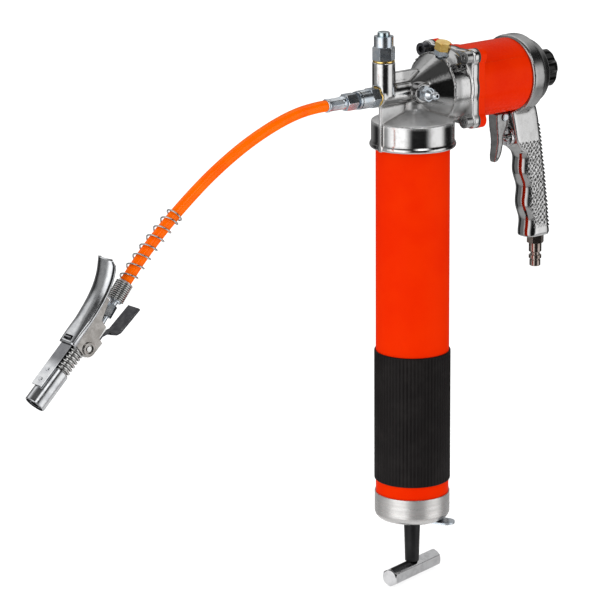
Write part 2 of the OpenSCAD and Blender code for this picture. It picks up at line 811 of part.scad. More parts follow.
// Adapter between the head and the hose, drawn away from the head
module outlet_adapter() {
    round_x = adapter_hex_h + adapter_round_h;
    total = round_x + adapter_lip_h + adapter_neck_h;
    color(zinc_grey) translate([adapter_x, 0, axis_h]) rotate([0, -90, 0]) difference() {
        union() {
            hex_bar(adapter_af, adapter_hex_h);
            rotate_extrude() polygon([[0, -washer_t - adapter_spigot_h],
                [adapter_spigot_r, -washer_t - adapter_spigot_h], [adapter_spigot_r, adapter_hex_h],
                [adapter_round_r, adapter_hex_h], [adapter_round_r, round_x],
                [adapter_neck_r, round_x], [adapter_neck_r, round_x + adapter_lip_h * 0.2],
                [adapter_lip_r, round_x + adapter_lip_h * 0.2], [adapter_lip_r, round_x + adapter_lip_h],
                [adapter_neck_r, round_x + adapter_lip_h], [adapter_neck_r, total], [0, total]]);
        }
        translate([0, 0, -washer_t - adapter_spigot_h - cut])
            cylinder(r = adapter_bore_r, h = total + adapter_spigot_h + washer_t + 2 * cut);
    }
}

module check_ball() {
    color(steel_grey) translate([ball_x, 0, axis_h]) sphere(r = ball_r);
}

module check_spring() {
    far_x = -outlet_x + adapter_spigot_h;
    near_x = ball_x - ball_r * 0.87;
    color(steel_grey) translate([far_x, 0, axis_h])
        spring(ball_r * 0.55, check_wire, near_x - far_x, 4);
}

// Relief valve

module relief_washer() {
    color(brass_gold) translate([-riser_x, 0, riser_z])
        ring(riser_d / 2 - gap, relief_spigot_r + push_fit, washer_t);
}

module relief_body() {
    color(zinc_grey) translate([-riser_x, 0, 0]) difference() {
        union() {
            translate([0, 0, riser_z - relief_spigot_h])
                cylinder(r = relief_spigot_r, h = relief_spigot_h + 2 * washer_t);
            translate([0, 0, relief_hex_z]) hex_bar(relief_af, relief_hex_h);
            translate([0, 0, relief_collar_z - cut]) cylinder(d = relief_d, h = relief_collar_h + cut);
        }
        translate([0, 0, relief_top_z - button_well])
            cylinder(r = button_r + slide_fit, h = button_well + cut);
        translate([0, 0, riser_z - relief_spigot_h - cut])
            cylinder(r = relief_stem_r + gap, h = relief_top_z - riser_z + relief_spigot_h);
    }
}

module relief_spring() {
    color(steel_grey) translate([-riser_x, 0, 0])
        up_from(relief_top_z - button_well)
            spring(button_r * 0.66, relief_wire, button_well - button_skirt, 4);
}

module relief_button() {
    top_z = relief_top_z + button_proud;
    stem_l = button_well + relief_collar_h;
    color(zinc_grey) translate([-riser_x, 0, 0]) {
        rotate_extrude() polygon(concat(
            [[0, relief_top_z - button_skirt], [button_r, relief_top_z - button_skirt]],
            arc(button_r * 0.8, top_z - button_r * 0.2, button_r * 0.2, 0, 90, 3),
            [[0, top_z]]));
        translate([0, 0, relief_top_z - button_skirt - stem_l]) cylinder(r = relief_stem_r, h = stem_l + cut);
    }
}

// Grease nipple and bleeder

module grease_nipple() {
    head_l = nipple_l - nipple_boss_y - nipple_hex_h;
    waist_r = nipple_head_r * 0.72;
    color(zinc_grey) translate([nipple_x, -nipple_boss_y, axis_h]) rotate([90, 0, 0]) difference() {
        union() {
            translate([0, 0, -nipple_hex_h]) cylinder(r = nipple_spigot_r, h = 2 * nipple_hex_h);
            hex_bar(nipple_hex_af, nipple_hex_h);
            translate([0, 0, nipple_hex_h]) rotate_extrude() polygon([[0, 0],
                [nipple_hex_af * 0.42, 0], [waist_r, head_l * 0.38], [waist_r, head_l * 0.5],
                [nipple_head_r, head_l * 0.64], [nipple_head_r, head_l * 0.82],
                [nipple_head_r * 0.6, head_l], [0, head_l]]);
        }
        translate([0, 0, -nipple_hex_h - cut]) cylinder(r = nipple_bore_r, h = nipple_l + 2 * cut);
    }
}

// Stands a shape on the cone's rim, tilted towards the nipple's side
module bleeder_turn(r) {
    translate([bleeder_x, 0, axis_h]) rotate([bleeder_angle, 0, 0]) translate([0, 0, r]) children();
}

module bleeder_seat() {
    color(zinc_grey) bleeder_turn(cone_r - bleeder_sink) difference() {
        union() {
            hex_bar(bleeder_af, bleeder_seat_h);
            translate([0, 0, -bleeder_seat_h]) cylinder(r = bleeder_af * 0.32, h = bleeder_seat_h + cut);
        }
        translate([0, 0, -bleeder_seat_h - cut])
            cylinder(r = bleeder_af * 0.2, h = 2 * bleeder_seat_h + 2 * cut);
    }
}

module bleeder_plug() {
    color(brass_gold) bleeder_turn(cone_r - bleeder_sink + bleeder_seat_h) {
        hex_bar(bleeder_af * 1.08, bleeder_plug_h);
        translate([0, 0, -bleeder_seat_h])
            cylinder(r = bleeder_af * 0.2 - push_fit, h = bleeder_seat_h + cut);
    }
}

// Motor

module motor_gasket() {
    color(rubber_black) on_axis(flange_x) difference() {
        eared_plate(motor_gasket_t, screw_r + slide_fit);
        translate([0, 0, -cut]) cylinder(r = cavity_r, h = motor_gasket_t + 2 * cut);
    }
}

module motor_cylinder() {
    length = motor_end_x - motor_x;
    color(paint_red) on_axis(motor_x) difference() {
        union() {
            cylinder(r = motor_r, h = length);
            eared_plate(motor_flange_t, screw_r * 0.8);
            intersection() {
                cylinder(r = motor_r + panel_t, h = length - cap_seal_r);
                translate([-motor_r * 0.62, -motor_d, 0]) cube([motor_r * 1.35, 2 * motor_d, length]);
            }
        }
        translate([0, 0, -cut]) cylinder(r = motor_bore_r, h = length + 2 * cut);
        at_screws() translate([0, 0, -cut]) cylinder(r = screw_r + slide_fit, h = motor_flange_t + 2 * cut);
    }
}

// Socket-head screws of the flange, from the head's side
module flange_screws(picks) {
    shank_l = flange_t + motor_gasket_t + motor_flange_t;
    color(steel_grey) on_axis(flange_x - flange_t) at_screws(picks) difference() {
        union() {
            cylinder(r = screw_r, h = shank_l);
            translate([0, 0, -screw_head_h]) cylinder(r = screw_head_r, h = screw_head_h);
        }
        translate([0, 0, -screw_head_h - cut]) cylinder(r = screw_r * 0.96, h = screw_r + cut, $fn = 6);
    }
}

module upper_screws() {
    flange_screws([1, 2]);
}

module lower_screws() {
    flange_screws([0, 3]);
}

module plunger_gland() {
    color(brass_gold) on_axis(gland_boss_x - plunger_gland_l)
        ring(plunger_gland_r, pump_bore_r, plunger_gland_l);
}

module motor_spring() {
    color(steel_grey) translate([cavity_x, 0, axis_h])
        spring(motor_spring_r, motor_wire, piston_x - cavity_x, motor_turns);
}

module pump_plunger() {
    color(steel_grey) on_axis(tip_x) cylinder(r = plunger_r, h = piston_x + piston_t - tip_x);
}

module air_piston() {
    groove_x = (piston_t - piston_groove) / 2;
    body_r = motor_bore_r - slide_fit;
    color(cast_grey) on_axis(piston_x) rotate_extrude() polygon([
        [plunger_r + push_fit, 0], [body_r, 0], [body_r, groove_x], [body_r - seal_depth, groove_x],
        [body_r - seal_depth, groove_x + piston_groove], [body_r, groove_x + piston_groove],
        [body_r, piston_t], [plunger_r + push_fit, piston_t]]);
}

module piston_seal() {
    body_r = motor_bore_r - slide_fit;
    color(rubber_black) on_axis(piston_x + (piston_t - piston_groove) / 2)
        ring(body_r, body_r - seal_depth, piston_groove);
}

module cap_seal() {
    color(rubber_black) on_axis(motor_end_x - spigot_l / 2 - cap_seal_r)
        ring(motor_bore_r - push_fit, motor_bore_r - cap_seal_r, 2 * cap_seal_r);
}

// Grip housing: the rear cap, the handle and the trigger's lug in one casting

function back_x(k) = handle_back_x + handle_lean * pow(k, 0.7);
function groove(k) = k < groove_start_share ? 0
    : groove_depth * (1 - cos(360 * groove_n * (k - groove_start_share) / (1 - groove_start_share))) / 2;
function depth(k) = mix(root_depth, handle_depth, smooth((k - root_end_share) / groove_start_share))
    - groove(k);
// Finger side corners round off from the sharp root into the palm
function front_corner(k) = mix(front_round / 4, front_round, smooth((k - root_end_share) * 3));

// One level outline of the handle at a share of its height
function handle_ring(k) =
    let (z = handle_z - handle_h * k, low = max(0, 1 - (1 - k) * handle_h / foot_round),
         inset = foot_round * (1 - sqrt(1 - low * low)) / 2, back = back_x(k) - inset,
         front = back_x(k) - depth(k) + inset, half = handle_w / 2 - inset - groove(k) * 0.12,
         rf = front_corner(k), rb = back_round)
    [for (p = concat(
        arc(back - rb, half - rb, rb, 0, 90, corner_steps),
        arc(front + rf, half - rf, rf, 90, 180, corner_steps),
        arc(front + rf, rf - half, rf, 180, 270, corner_steps),
        arc(back - rb, rb - half, rb, 270, 360, corner_steps))) [p[0], p[1], z]];

module handle_body() {
    skin([for (i = [handle_rings : -1 : 0]) handle_ring(i / handle_rings)]);
}

module rear_cap_body() {
    in_r = motor_bore_r - push_fit;
    on_axis(motor_end_x) rotate_extrude() polygon(concat(
        [[rear_cavity_r, -spigot_l], [in_r, -spigot_l], [in_r, -spigot_l / 2 - cap_seal_r],
         [in_r - cap_seal_r, -spigot_l / 2 - cap_seal_r], [in_r - cap_seal_r, -spigot_l / 2 + cap_seal_r],
         [in_r, -spigot_l / 2 + cap_seal_r], [in_r, 0], [rear_r - rear_round / 3, 0],
         [rear_r, rear_round / 3]],
        arc(rear_r - rear_round, rear_l - rear_round, rear_round, 0, 90, 4),
        arc(rear_boss_r - rear_round, rear_l + rear_boss_l - rear_round, rear_round, 0, 90, 4),
        [[knob_stem_r + slide_fit, rear_l + rear_boss_l], [knob_stem_r + slide_fit, rear_cavity_l],
         [rear_cavity_r, rear_cavity_l]]));
}

module trigger_lug() {
    root_x = handle_back_x - root_depth;
    side_plate([[root_x + root_depth / 2, pin_z + trigger_rise + pin_r],
        [pin_x - pin_r * 2, pin_z + trigger_rise + pin_r], [pin_x - pin_r * 2.2, pin_z - pin_r],
        [pin_x - pin_r, pin_z - pin_r * 1.9], [pin_x + pin_r, pin_z - pin_r * 2.2],
        [root_x + root_depth / 2, pin_z - pin_r * 2.6]], lug_w);
}

module grip_housing() {
    duct_x = plug_x - valve_x - valve_rim_t - valve_guide_l - valve_body_l * 0.3;
    duct_h = valve_z - handle_foot_z;
    color(cast_grey) difference() {
        union() {
            rear_cap_body();
            difference() {
                union() {
                    handle_body();
                    trigger_lug();
                    translate([valve_x + valve_rim_t, 0, valve_z]) rotate([0, 90, 0])
                        cylinder(r = valve_boss_r, h = valve_body_l / 2);
                }
                on_axis(motor_x)
                    cylinder(r = motor_r + panel_t + push_fit, h = motor_end_x - motor_x);
            }
        }
        on_axis(motor_end_x - cut) cylinder(r = rear_cavity_r, h = rear_cavity_l + cut);
        on_axis(motor_end_x) cylinder(r = knob_stem_r + slide_fit, h = rear_l + rear_boss_l + cut);
        translate([pin_x, 0, pin_z]) rotate([90, 0, 0])
            cylinder(r = pin_r + push_fit, h = lug_w + 2 * cut, center = true);
        translate([valve_x, 0, valve_z]) rotate([0, 90, 0]) {
            cylinder(r = valve_body_r + push_fit, h = valve_rim_t + valve_body_l);
            cylinder(r = valve_r + push_fit, h = valve_rim_t);
        }
        translate([plug_x, 0, handle_foot_z - cut])
            cylinder(r = plug_thread_r + push_fit, h = plug_thread_h + cut);
        translate([plug_x, 0, handle_foot_z])
            rotate([0, -atan(duct_x / duct_h), 0]) cylinder(r = plug_bore_r, h = norm([duct_x, duct_h]));
        translate([valve_x + valve_rim_t + valve_guide_l, 0, valve_z])
            cylinder(r = plug_bore_r, h = axis_h - rear_cavity_r * 0.7 - valve_z);
    }
}

module regulator_stem() {
    start_x = motor_end_x + rear_cavity_l * 0.4;
    color(steel_grey) on_axis(start_x) cylinder(r = knob_stem_r, h = knob_x + knob_t * 0.6 - start_x);
}

module star_knob() {
    lobe_r = knob_r * 0.3;
    waist_r = knob_r * 0.24;
    edge = knob_t * 0.12;
    crown = knob_t * 0.3;
    color(rubber_black) on_axis(knob_x) difference() {
        intersection() {
            linear_extrude(knob_t) difference() {
                union() {
                    circle(r = knob_r - lobe_r * 0.6);
                    for (i = [0 : knob_lobes - 1]) rotate([0, 0, 360 * i / knob_lobes])
                        translate([knob_r - lobe_r, 0]) circle(r = lobe_r);
                }
                for (i = [0 : knob_lobes - 1]) rotate([0, 0, 360 * (i + 0.5) / knob_lobes])
                    translate([knob_r + waist_r * 0.1, 0]) circle(r = waist_r);
            }
            rotate_extrude() polygon(concat([[0, 0], [knob_r - edge, 0], [knob_r, edge]],
                arc(knob_r - crown, knob_t - crown, crown, 0, 90, 5), [[0, knob_t]]));
        }
        translate([0, 0, -cut]) cylinder(r = knob_stem_r + push_fit, h = knob_t * 0.6 + cut);
    }
}

// Air valve and trigger

module valve_bush() {
    slot_w = valve_r * 0.25;
    color(zinc_grey) translate([valve_x, 0, valve_z]) rotate([0, 90, 0]) difference() {
        union() {
            cylinder(r = valve_r, h = valve_rim_t);
            cylinder(r = valve_body_r, h = valve_rim_t + valve_body_l);
        }
        translate([0, 0, -cut]) cylinder(r = stem_r + slide_fit, h = valve_rim_t + valve_guide_l + 2 * cut);
        translate([0, 0, -cut]) cylinder(r = valve_body_r * 0.7, h = valve_rim_t / 2 + cut);
        translate([0, 0, valve_rim_t + valve_guide_l])
            cylinder(r = valve_chamber_r, h = valve_body_l - valve_guide_l - stem_head_t / 2);
        translate([-valve_r - cut, -slot_w / 2, -cut])
            cube([valve_d + 2 * cut, slot_w, valve_rim_t / 2 + cut]);
        translate([-valve_body_r - cut, 0, valve_rim_t + valve_body_l - stem_head_t * 2.4])
            rotate([0, 90, 0]) cylinder(r = plug_bore_r * 0.7, h = 2 * valve_body_r + 2 * cut);
    }
}

module valve_stem() {
    tip_x = pin_x - trigger_reach + trigger_dip + trigger_t + gap;
    head_x = valve_x + valve_rim_t + valve_guide_l + gap;
    color(steel_grey) translate([0, 0, valve_z]) rotate([0, 90, 0]) {
        translate([0, 0, tip_x]) cylinder(r = stem_r, h = head_x - tip_x + stem_head_t);
        translate([0, 0, head_x]) cylinder(r = min(stem_head_r, valve_chamber_r - gap), h = stem_head_t);
    }
}

module valve_spring() {
    near_x = valve_x + valve_rim_t + valve_guide_l + gap + stem_head_t;
    far_x = valve_x + valve_rim_t + valve_body_l - stem_head_t / 2;
    color(steel_grey) translate([near_x, 0, valve_z])
        spring(stem_r * 1.1, valve_wire, far_x - near_x, 4);
}

// Finger side of the trigger, and its depth at shares of its length
function trigger_front(k) = -trigger_reach + trigger_dip * pow(sin(180 * pow(k, 1.3)), 2);
trigger_depth_shares = [[0, 1.33], [0.08, 1.4], [0.15, 1.41], [0.25, 1.3], [0.33, 1.09], [0.42, 0.84],
    [0.5, 0.72], [0.8, 0.67], [0.93, 0.52], [1, 0.3]];

module trigger() {
    steps = 24;
    half = trigger_w / 2;
    deep = 4 * trigger_reach;
    front = [for (i = [0 : steps]) let (k = i / steps) [trigger_front(k), trigger_rise - trigger_h * k]];
    back = [for (i = [steps : -1 : 0]) let (k = i / steps)
        [trigger_front(k) + trigger_reach * lookup(k, trigger_depth_shares), trigger_rise - trigger_h * k]];
    hollow = [for (p = front) p + [trigger_t, 0]];
    color(zinc_grey) translate([pin_x, 0, pin_z]) difference() {
        intersection() {
            side_plate(concat(front, back), trigger_w);
            translate([-2 * trigger_reach, 0, trigger_rise]) rotate([0, 90, 0])
                linear_extrude(4 * trigger_reach)
                    polygon([[-cut, -half], [-cut, half], [trigger_h * 0.3, half],
                        [trigger_h * 0.9, half * 0.78], [trigger_h + cut, half * 0.5],
                        [trigger_h + cut, -half * 0.5], [trigger_h * 0.9, -half * 0.78],
                        [trigger_h * 0.3, -half]]);
        }
        side_plate(concat(hollow, [[3 * trigger_reach, trigger_rise - trigger_h],
            [3 * trigger_reach, trigger_rise + cut], [hollow[0][0], trigger_rise + cut]]),
            (half * 0.78 - trigger_t) * 2);
        translate([-trigger_reach + trigger_t, 0, trigger_rise - trigger_h * 0.25])
            side_plate([[0, 0], [deep, 0], [deep, trigger_h / 2], [0, trigger_h / 2]],
                trigger_w - 2 * trigger_t);
        rotate([90, 0, 0]) cylinder(r = pin_r + slide_fit, h = trigger_w + 2 * cut, center = true);
    }
}

module trigger_pin() {
    head_y = trigger_w / 2 + gap;
    color(zinc_grey) translate([pin_x, 0, pin_z]) rotate([90, 0, 0]) {
        cylinder(r = pin_r, h = 2 * head_y, center = true);
        for (side = [0, 1]) mirror([0, 0, side]) translate([0, 0, head_y]) rotate_extrude()
            polygon([[0, 0], [pin_head_r, 0], [pin_head_r, pin_head_t / 2],
                [pin_head_r * 0.7, pin_head_t], [0, pin_head_t]]);
    }
}

module air_plug() {
    thread_z = plug_thread_h * 0.9;
    round = plug_d * 0.08;
    body_z = -plug_hex_h;
    neck_z = body_z - plug_shank_h;
    ring_z = neck_z - plug_neck_h;
    low_z = ring_z - plug_ring_h - plug_neck_h * 0.5;
    foot_z = low_z - plug_nose_h;
    color(zinc_grey) translate([plug_x, 0, handle_foot_z]) difference() {
        union() {
            translate([0, 0, body_z]) hex_bar(plug_af, plug_hex_h);
            rotate_extrude() polygon([[0, thread_z], [plug_thread_r, thread_z], [plug_thread_r, body_z],
                [plug_ring_r, body_z], [plug_ring_r, neck_z], [plug_neck_r, neck_z - round],
                [plug_neck_r, ring_z], [plug_ring_r, ring_z], [plug_ring_r, ring_z - plug_ring_h],
                [plug_neck_r, ring_z - plug_ring_h], [plug_neck_r, low_z], [plug_d / 2, low_z],
                [plug_d / 2, foot_z + round], [plug_d / 2 - round, foot_z], [0, foot_z]]);
        }
        translate([0, 0, foot_z - cut]) cylinder(r = plug_bore_r, h = plug_thread_h - foot_z + cut);
    }
}

// Hose

module hose_swivel() {
    color(zinc_grey) translate([swivel_x, 0, axis_h]) rotate([0, -90, 0]) difference() {
        hex_bar(swivel_af, swivel_l);
        translate([0, 0, -cut]) cylinder(r = adapter_bore_r, h = swivel_l + 2 * cut);
    }
}

module hose_ferrule() {
    turned = ferrule_d * 0.06;
    color(zinc_grey) translate([ferrule_x, 0, axis_h]) rotate([0, -90, 0]) difference() {
        rotate_extrude() polygon([[0, 0], [ferrule_d / 2, 0], [ferrule_d / 2, ferrule_l - turned],
            [ferrule_d / 2 - turned, ferrule_l], [0, ferrule_l]]);
        translate([0, 0, -cut]) cylinder(r = adapter_bore_r, h = ferrule_l + 2 * cut);
    }
}

module hose() {
    color(hose_orange) skin(tube_rings(hose_route, [for (p = hose_route) [0, 1, 0]], hose_r, hose_sides));
}

// Distance along the route to each of its points
function run_to(points, i) = i == 0 ? 0 : run_to(points, i - 1) + norm(points[i] - points[i - 1]);
route_runs = [for (i = [0 : len(hose_route) - 1]) run_to(hose_route, i)];
route_l = route_runs[len(hose_route) - 1];
// Point on the hose's centre line at a distance back from the coupler's end
function hose_at(back) =
    let (run = route_l - back,
         i = max([for (j = [0 : len(route_runs) - 2]) if (route_runs[j] <= run) j]),
         k = (run - route_runs[i]) / (route_runs[i + 1] - route_runs[i]))
    mix(hose_route[i], hose_route[i + 1], k);
function hose_along(back) = unit(hose_at(back) - hose_at(back + guard_d));

// Loose guard spring, wound along the hose from the strain spring
guard_points =
    let (n = (guard_turns + guard_closed_turns) * curl_rings, open = guard_turns * curl_rings)
    [for (i = [0 : n])
        let (climb = i < open ? (guard_l - 2 * guard_wire) * i / open
                : guard_l - 2 * guard_wire + (guard_wire + gap * 1.3) * (i - open) / curl_rings,
             a = 360 * i / curl_rings, back = climb + guard_wire,
             along = hose_along(back), side = [0, 1, 0], across = cross(along, side))
        hose_at(back) + guard_r * (cos(a) * side + sin(a) * across)];
guard_refs = [for (i = [0 : len(guard_points) - 1])
    let (a = 360 * i / curl_rings, side = [0, 1, 0],
         across = cross(hose_along(guard_l * i / len(guard_points)), side))
    cos(a) * side + sin(a) * across];

module guard_spring() {
    color(zinc_grey) mirror([0, 1, 0]) skin(tube_rings(guard_points, guard_refs, guard_wire / 2, wire_sides));
}

// Stands the coupler's own frame at the hose's far end
module coupler_frame() {
    end = hose_route[len(hose_route) - 1];
    translate(end) rotate([0, -coupler_slope, 0])
        translate([-inlet_s - fitting_end * cos(inlet_tilt), 0, -inlet_t - fitting_end * sin(inlet_tilt)])
            children();
}

// Lines a shape's +z up with the hose's fitting, from the coupler's inlet
module on_inlet(d) {
    coupler_frame() translate([inlet_s, 0, inlet_t]) rotate([0, 90 - inlet_tilt, 0])
        translate([0, 0, d]) children();
}

module hose_fitting() {
    color(zinc_grey) on_inlet(0) difference() {
        union() {
            translate([0, 0, -fitting_stem_l / 2]) cylinder(r = fitting_stem_r, h = fitting_stem_l * 2);
            translate([0, 0, fitting_stem_l]) hex_bar(fitting_hex_af, fitting_hex_l);
            translate([0, 0, fitting_stem_l])
                cylinder(r = fitting_neck_r, h = fitting_hex_l + fitting_neck_l);
            translate([0, 0, fitting_l]) cylinder(r = fitting_crimp_r, h = strain_l - gap);
        }
        translate([0, 0, -fitting_stem_l / 2 - cut])
            cylinder(r = fitting_stem_r / 2, h = fitting_end + fitting_stem_l + 2 * cut);
    }
}

strain_points = helix(strain_r, strain_l - strain_wire - gap, strain_turns, strain_wire);

module strain_spring() {
    color(zinc_grey) on_inlet(fitting_l + (strain_wire + gap) / 2) rotate([0, -90, 0])
        skin(tube_rings(strain_points, helix_refs(strain_points), strain_wire / 2, wire_sides));
}

// Coupler

module coupler_body() {
    color(steel_grey) coupler_frame() difference() {
        union() {
            translate([jaw_l, 0, 0]) rotate([0, 90, 0]) cylinder(r = core_r, h = block_s - jaw_l + cut);
            side_plate([[block_s, block_top], [inlet_s - block_w * 0.36, block_top],
                [inlet_s, block_top - block_w * 0.45], [inlet_s, block_low + block_w * 0.1],
                [inlet_s - block_w * 0.1, block_low], [block_s, block_low]], block_w);
        }
        translate([jaw_l - cut, 0, 0]) rotate([0, 90, 0])
            cylinder(r = core_bore_r, h = block_s + block_l / 2 - jaw_l);
        translate([inlet_s, 0, inlet_t]) rotate([0, 90 - inlet_tilt, 0]) {
            translate([0, 0, -fitting_stem_l / 2])
                cylinder(r = fitting_stem_r + push_fit, h = fitting_stem_l);
            translate([0, 0, -block_l / 2]) cylinder(r = fitting_stem_r / 2, h = block_l);
        }
        translate([inlet_s - block_l * 0.48, 0, inlet_t * 1.6])
            cylinder(r = fitting_stem_r / 2, h = -inlet_t * 1.6);
        translate([eye_s, 0, eye_t]) rotate([90, 0, 0])
            cylinder(r = eye_pin_r + push_fit, h = block_w + 2 * cut, center = true);
    }
}

module coupler_jaws() {
    mouth_r = mouth_d / 2;
    stem_r = core_r * 0.89;
    color(steel_grey) coupler_frame() rotate([0, 90, 0]) difference() {
        rotate_extrude() polygon([[mouth_r, 0], [mouth_r * 1.24, 0], [jaw_r, jaw_l * 0.18],
            [jaw_r, jaw_l * 0.42], [stem_r, jaw_l * 0.51], [stem_r, jaw_l], [core_bore_r, jaw_l],
            [core_bore_r, mouth_l], [mouth_r, mouth_l]]);
        for (i = [0 : jaw_slots - 1]) rotate([0, 0, 45 + 360 * i / jaw_slots])
            translate([core_bore_r, -jaw_slot_w / 2, -cut]) cube([jaw_r, jaw_slot_w, jaw_l * 0.75 + cut]);
    }
}

module coupler_sleeve() {
    rim_s = sleeve_l - sleeve_rim_t;
    color(zinc_grey) coupler_frame() difference() {
        rotate([0, 90, 0]) rotate_extrude() polygon([
            [sleeve_r_in, -gap], [sleeve_r_out - gap, -gap], [sleeve_r_out, 0],
            [sleeve_r_out, sleeve_l - sleeve_wall], [sleeve_r_out - sleeve_wall, sleeve_l],
            [core_r + slide_fit, sleeve_l], [core_r + slide_fit, rim_s],
            [sleeve_r_in, rim_s]]);
        strap_rivets(strap_rivet_r + push_fit, sleeve_d);
    }
}

// Rivets that hold the strap on the sleeve, from inside the sleeve's wall up to a height
module strap_rivets(r, top) {
    for (s = [strap_s + strap_w / 2, strap_s + strap_w * 1.3]) translate([s, 0, sleeve_r_in])
        cylinder(r = r, h = top - sleeve_r_in);
}

// Strap that the lever's slot pulls, riveted along the sleeve
module pull_strap() {
    hook_s = slot_s - strap_t / 2;
    color(zinc_grey) coupler_frame() {
        translate([strap_s, -strap_w / 2, strap_low]) cube([hook_s - strap_s, strap_w, strap_t]);
        translate([hook_s - cut, -hook_w / 2, strap_low]) cube([strap_t + cut, hook_w, strap_t]);
        translate([hook_s, -hook_w / 2, strap_low]) cube([strap_t, hook_w, lever_low + strap_t - strap_low]);
        strap_rivets(strap_rivet_r, strap_low + strap_t * 1.5);
    }
}

coupler_points = helix(spring_r, block_s - sleeve_l - coupler_wire - gap, coupler_turns, coupler_wire);

module coupler_spring() {
    color(steel_grey) coupler_frame() translate([sleeve_l + (coupler_wire + gap) / 2, 0, 0])
        skin(tube_rings(coupler_points, helix_refs(coupler_points), coupler_wire / 2, wire_sides));
}

// Top line of the long lever, and the same line dropped by a depth
function lever_line(drop, from = 0, to = 1) = [for (i = [0 : lever_steps])
    let (k = mix(from, to, i / lever_steps))
    [lever_s + lever_l * k, lever_low + lever_slope * k + lever_sweep * pow(k, 5) - drop]];

function reversed(points) = [for (i = [len(points) - 1 : -1 : 0]) points[i]];

module coupler_lever() {
    color(zinc_grey) coupler_frame() difference() {
        side_plate(concat(lever_line(0), reversed(lever_line(lever_rim))), lever_w);
        side_plate(concat([[lever_s - cut, lever_low - lever_t]], lever_line(lever_t),
            reversed(lever_line(lever_rim + lever_t)), [[lever_s - cut, lever_low - lever_rim - lever_t]]),
            lever_w - 2 * lever_t);
        translate([slot_s - slot_l / 2, -slot_w / 2, lever_low - lever_rim])
            cube([slot_l, slot_w, 2 * lever_rim]);
    }
}

// Lower edge of the lever's inner frame, in radii of its eye from the eye
cheek_shares = [[4.3, 1.08], [4.1, -0.12], [2.2, -0.36], [2, -1.32]];

// Inner frame of the lever: two cheeks with a pressed eye, joined by a web
module coupler_bracket() {
    half = bracket_w / 2;
    web = lever_t + push_fit;
    top = lever_line(web, 0.04, 0.68);
    cheek = concat(top, [[lever_s + lever_l * 0.68, lever_low - lever_rim]],
        [for (p = cheek_shares) [eye_s + eye_r * p[0], eye_t + eye_r * p[1]]],
        arc(eye_s, eye_t, eye_r * 1.25, -90, -200, 6));
    color(dull_grey) coupler_frame() difference() {
        union() {
            for (side = [-1, 1]) translate([0, side * (half - bracket_t / 2), 0])
                side_plate(cheek, bracket_t);
            side_plate(concat(lever_line(web, 0.16, 0.66), reversed(lever_line(web + bracket_t, 0.16, 0.66))),
                bracket_w);
            for (side = [0, 1]) mirror([0, side, 0]) translate([eye_s, -half, eye_t]) rotate([90, 0, 0])
                ring(eye_r, eye_hollow_r, eye_rim_t);
        }
        translate([eye_s, 0, eye_t]) rotate([90, 0, 0])
            cylinder(r = eye_pin_r + slide_fit, h = 2 * bracket_w, center = true);
    }
}

module lever_pin() {
    color(steel_grey) coupler_frame() translate([eye_s, 0, eye_t]) rotate([90, 0, 0]) {
        cylinder(r = eye_pin_r, h = bracket_w + eye_rim_t, center = true);
    }
}

// Line of the finger rest past the inlet, as shares of its length
rest_shares = [[-0.26, 0], [-0.11, 0.08], [0.055, 0.326], [0.167, 0.385], [1, 0.444]];

module finger_rest() {
    line = concat([[eye_s, 0]], [for (p = rest_shares) [inlet_s + rest_l * p[0], -rest_l * p[1]]]);
    color(dull_grey) coupler_frame() translate([0, 0, block_low - rest_t / 2]) difference() {
        side_plate(strip_outline(line, rest_t), rest_w);
        for (side = [0, 1]) mirror([0, side, 0]) translate([eye_s - cut, rest_neck_w / 2, -3 * rest_t])
            cube([inlet_s - eye_s, rest_w, 6 * rest_t]);
    }
}

echo(guard_gap = self_gap(guard_points, guard_wire), strain_gap = self_gap(strain_points, strain_wire),
    coupler_gap = self_gap(coupler_points, coupler_wire));
echo(hose_length = route_l);

head_casting();
barrel_gasket();
barrel_tube();
barrel_sleeve();
end_cap();
rod_gland();
lock_rivet();
lock_plate();
main_spring();
follower_plate();
follower_cup();
rod_nut();
follower_rod();
rod_shank();
tee_handle();
outlet_washer();
outlet_adapter();
check_ball();
check_spring();
relief_washer();
relief_body();
relief_spring();
relief_button();
grease_nipple();
bleeder_seat();
bleeder_plug();
motor_gasket();
motor_cylinder();
upper_screws();
lower_screws();
plunger_gland();
motor_spring();
pump_plunger();
air_piston();
piston_seal();
cap_seal();
grip_housing();
regulator_stem();
star_knob();
valve_bush();
valve_stem();
valve_spring();
trigger();
trigger_pin();
air_plug();
hose_swivel();
hose_ferrule();
hose();
guard_spring();
strain_spring();
hose_fitting();
coupler_body();
coupler_jaws();
coupler_sleeve();
coupler_spring();
pull_strap();
coupler_lever();
coupler_bracket();
lever_pin();
finger_rest();
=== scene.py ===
"""Looks of a pneumatic grease applicator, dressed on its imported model, in metres."""

import logging
import math
from collections.abc import Callable, Sequence
from dataclasses import dataclass
from enum import Enum

import bmesh
import bpy
from mathutils import Matrix, Vector, noise


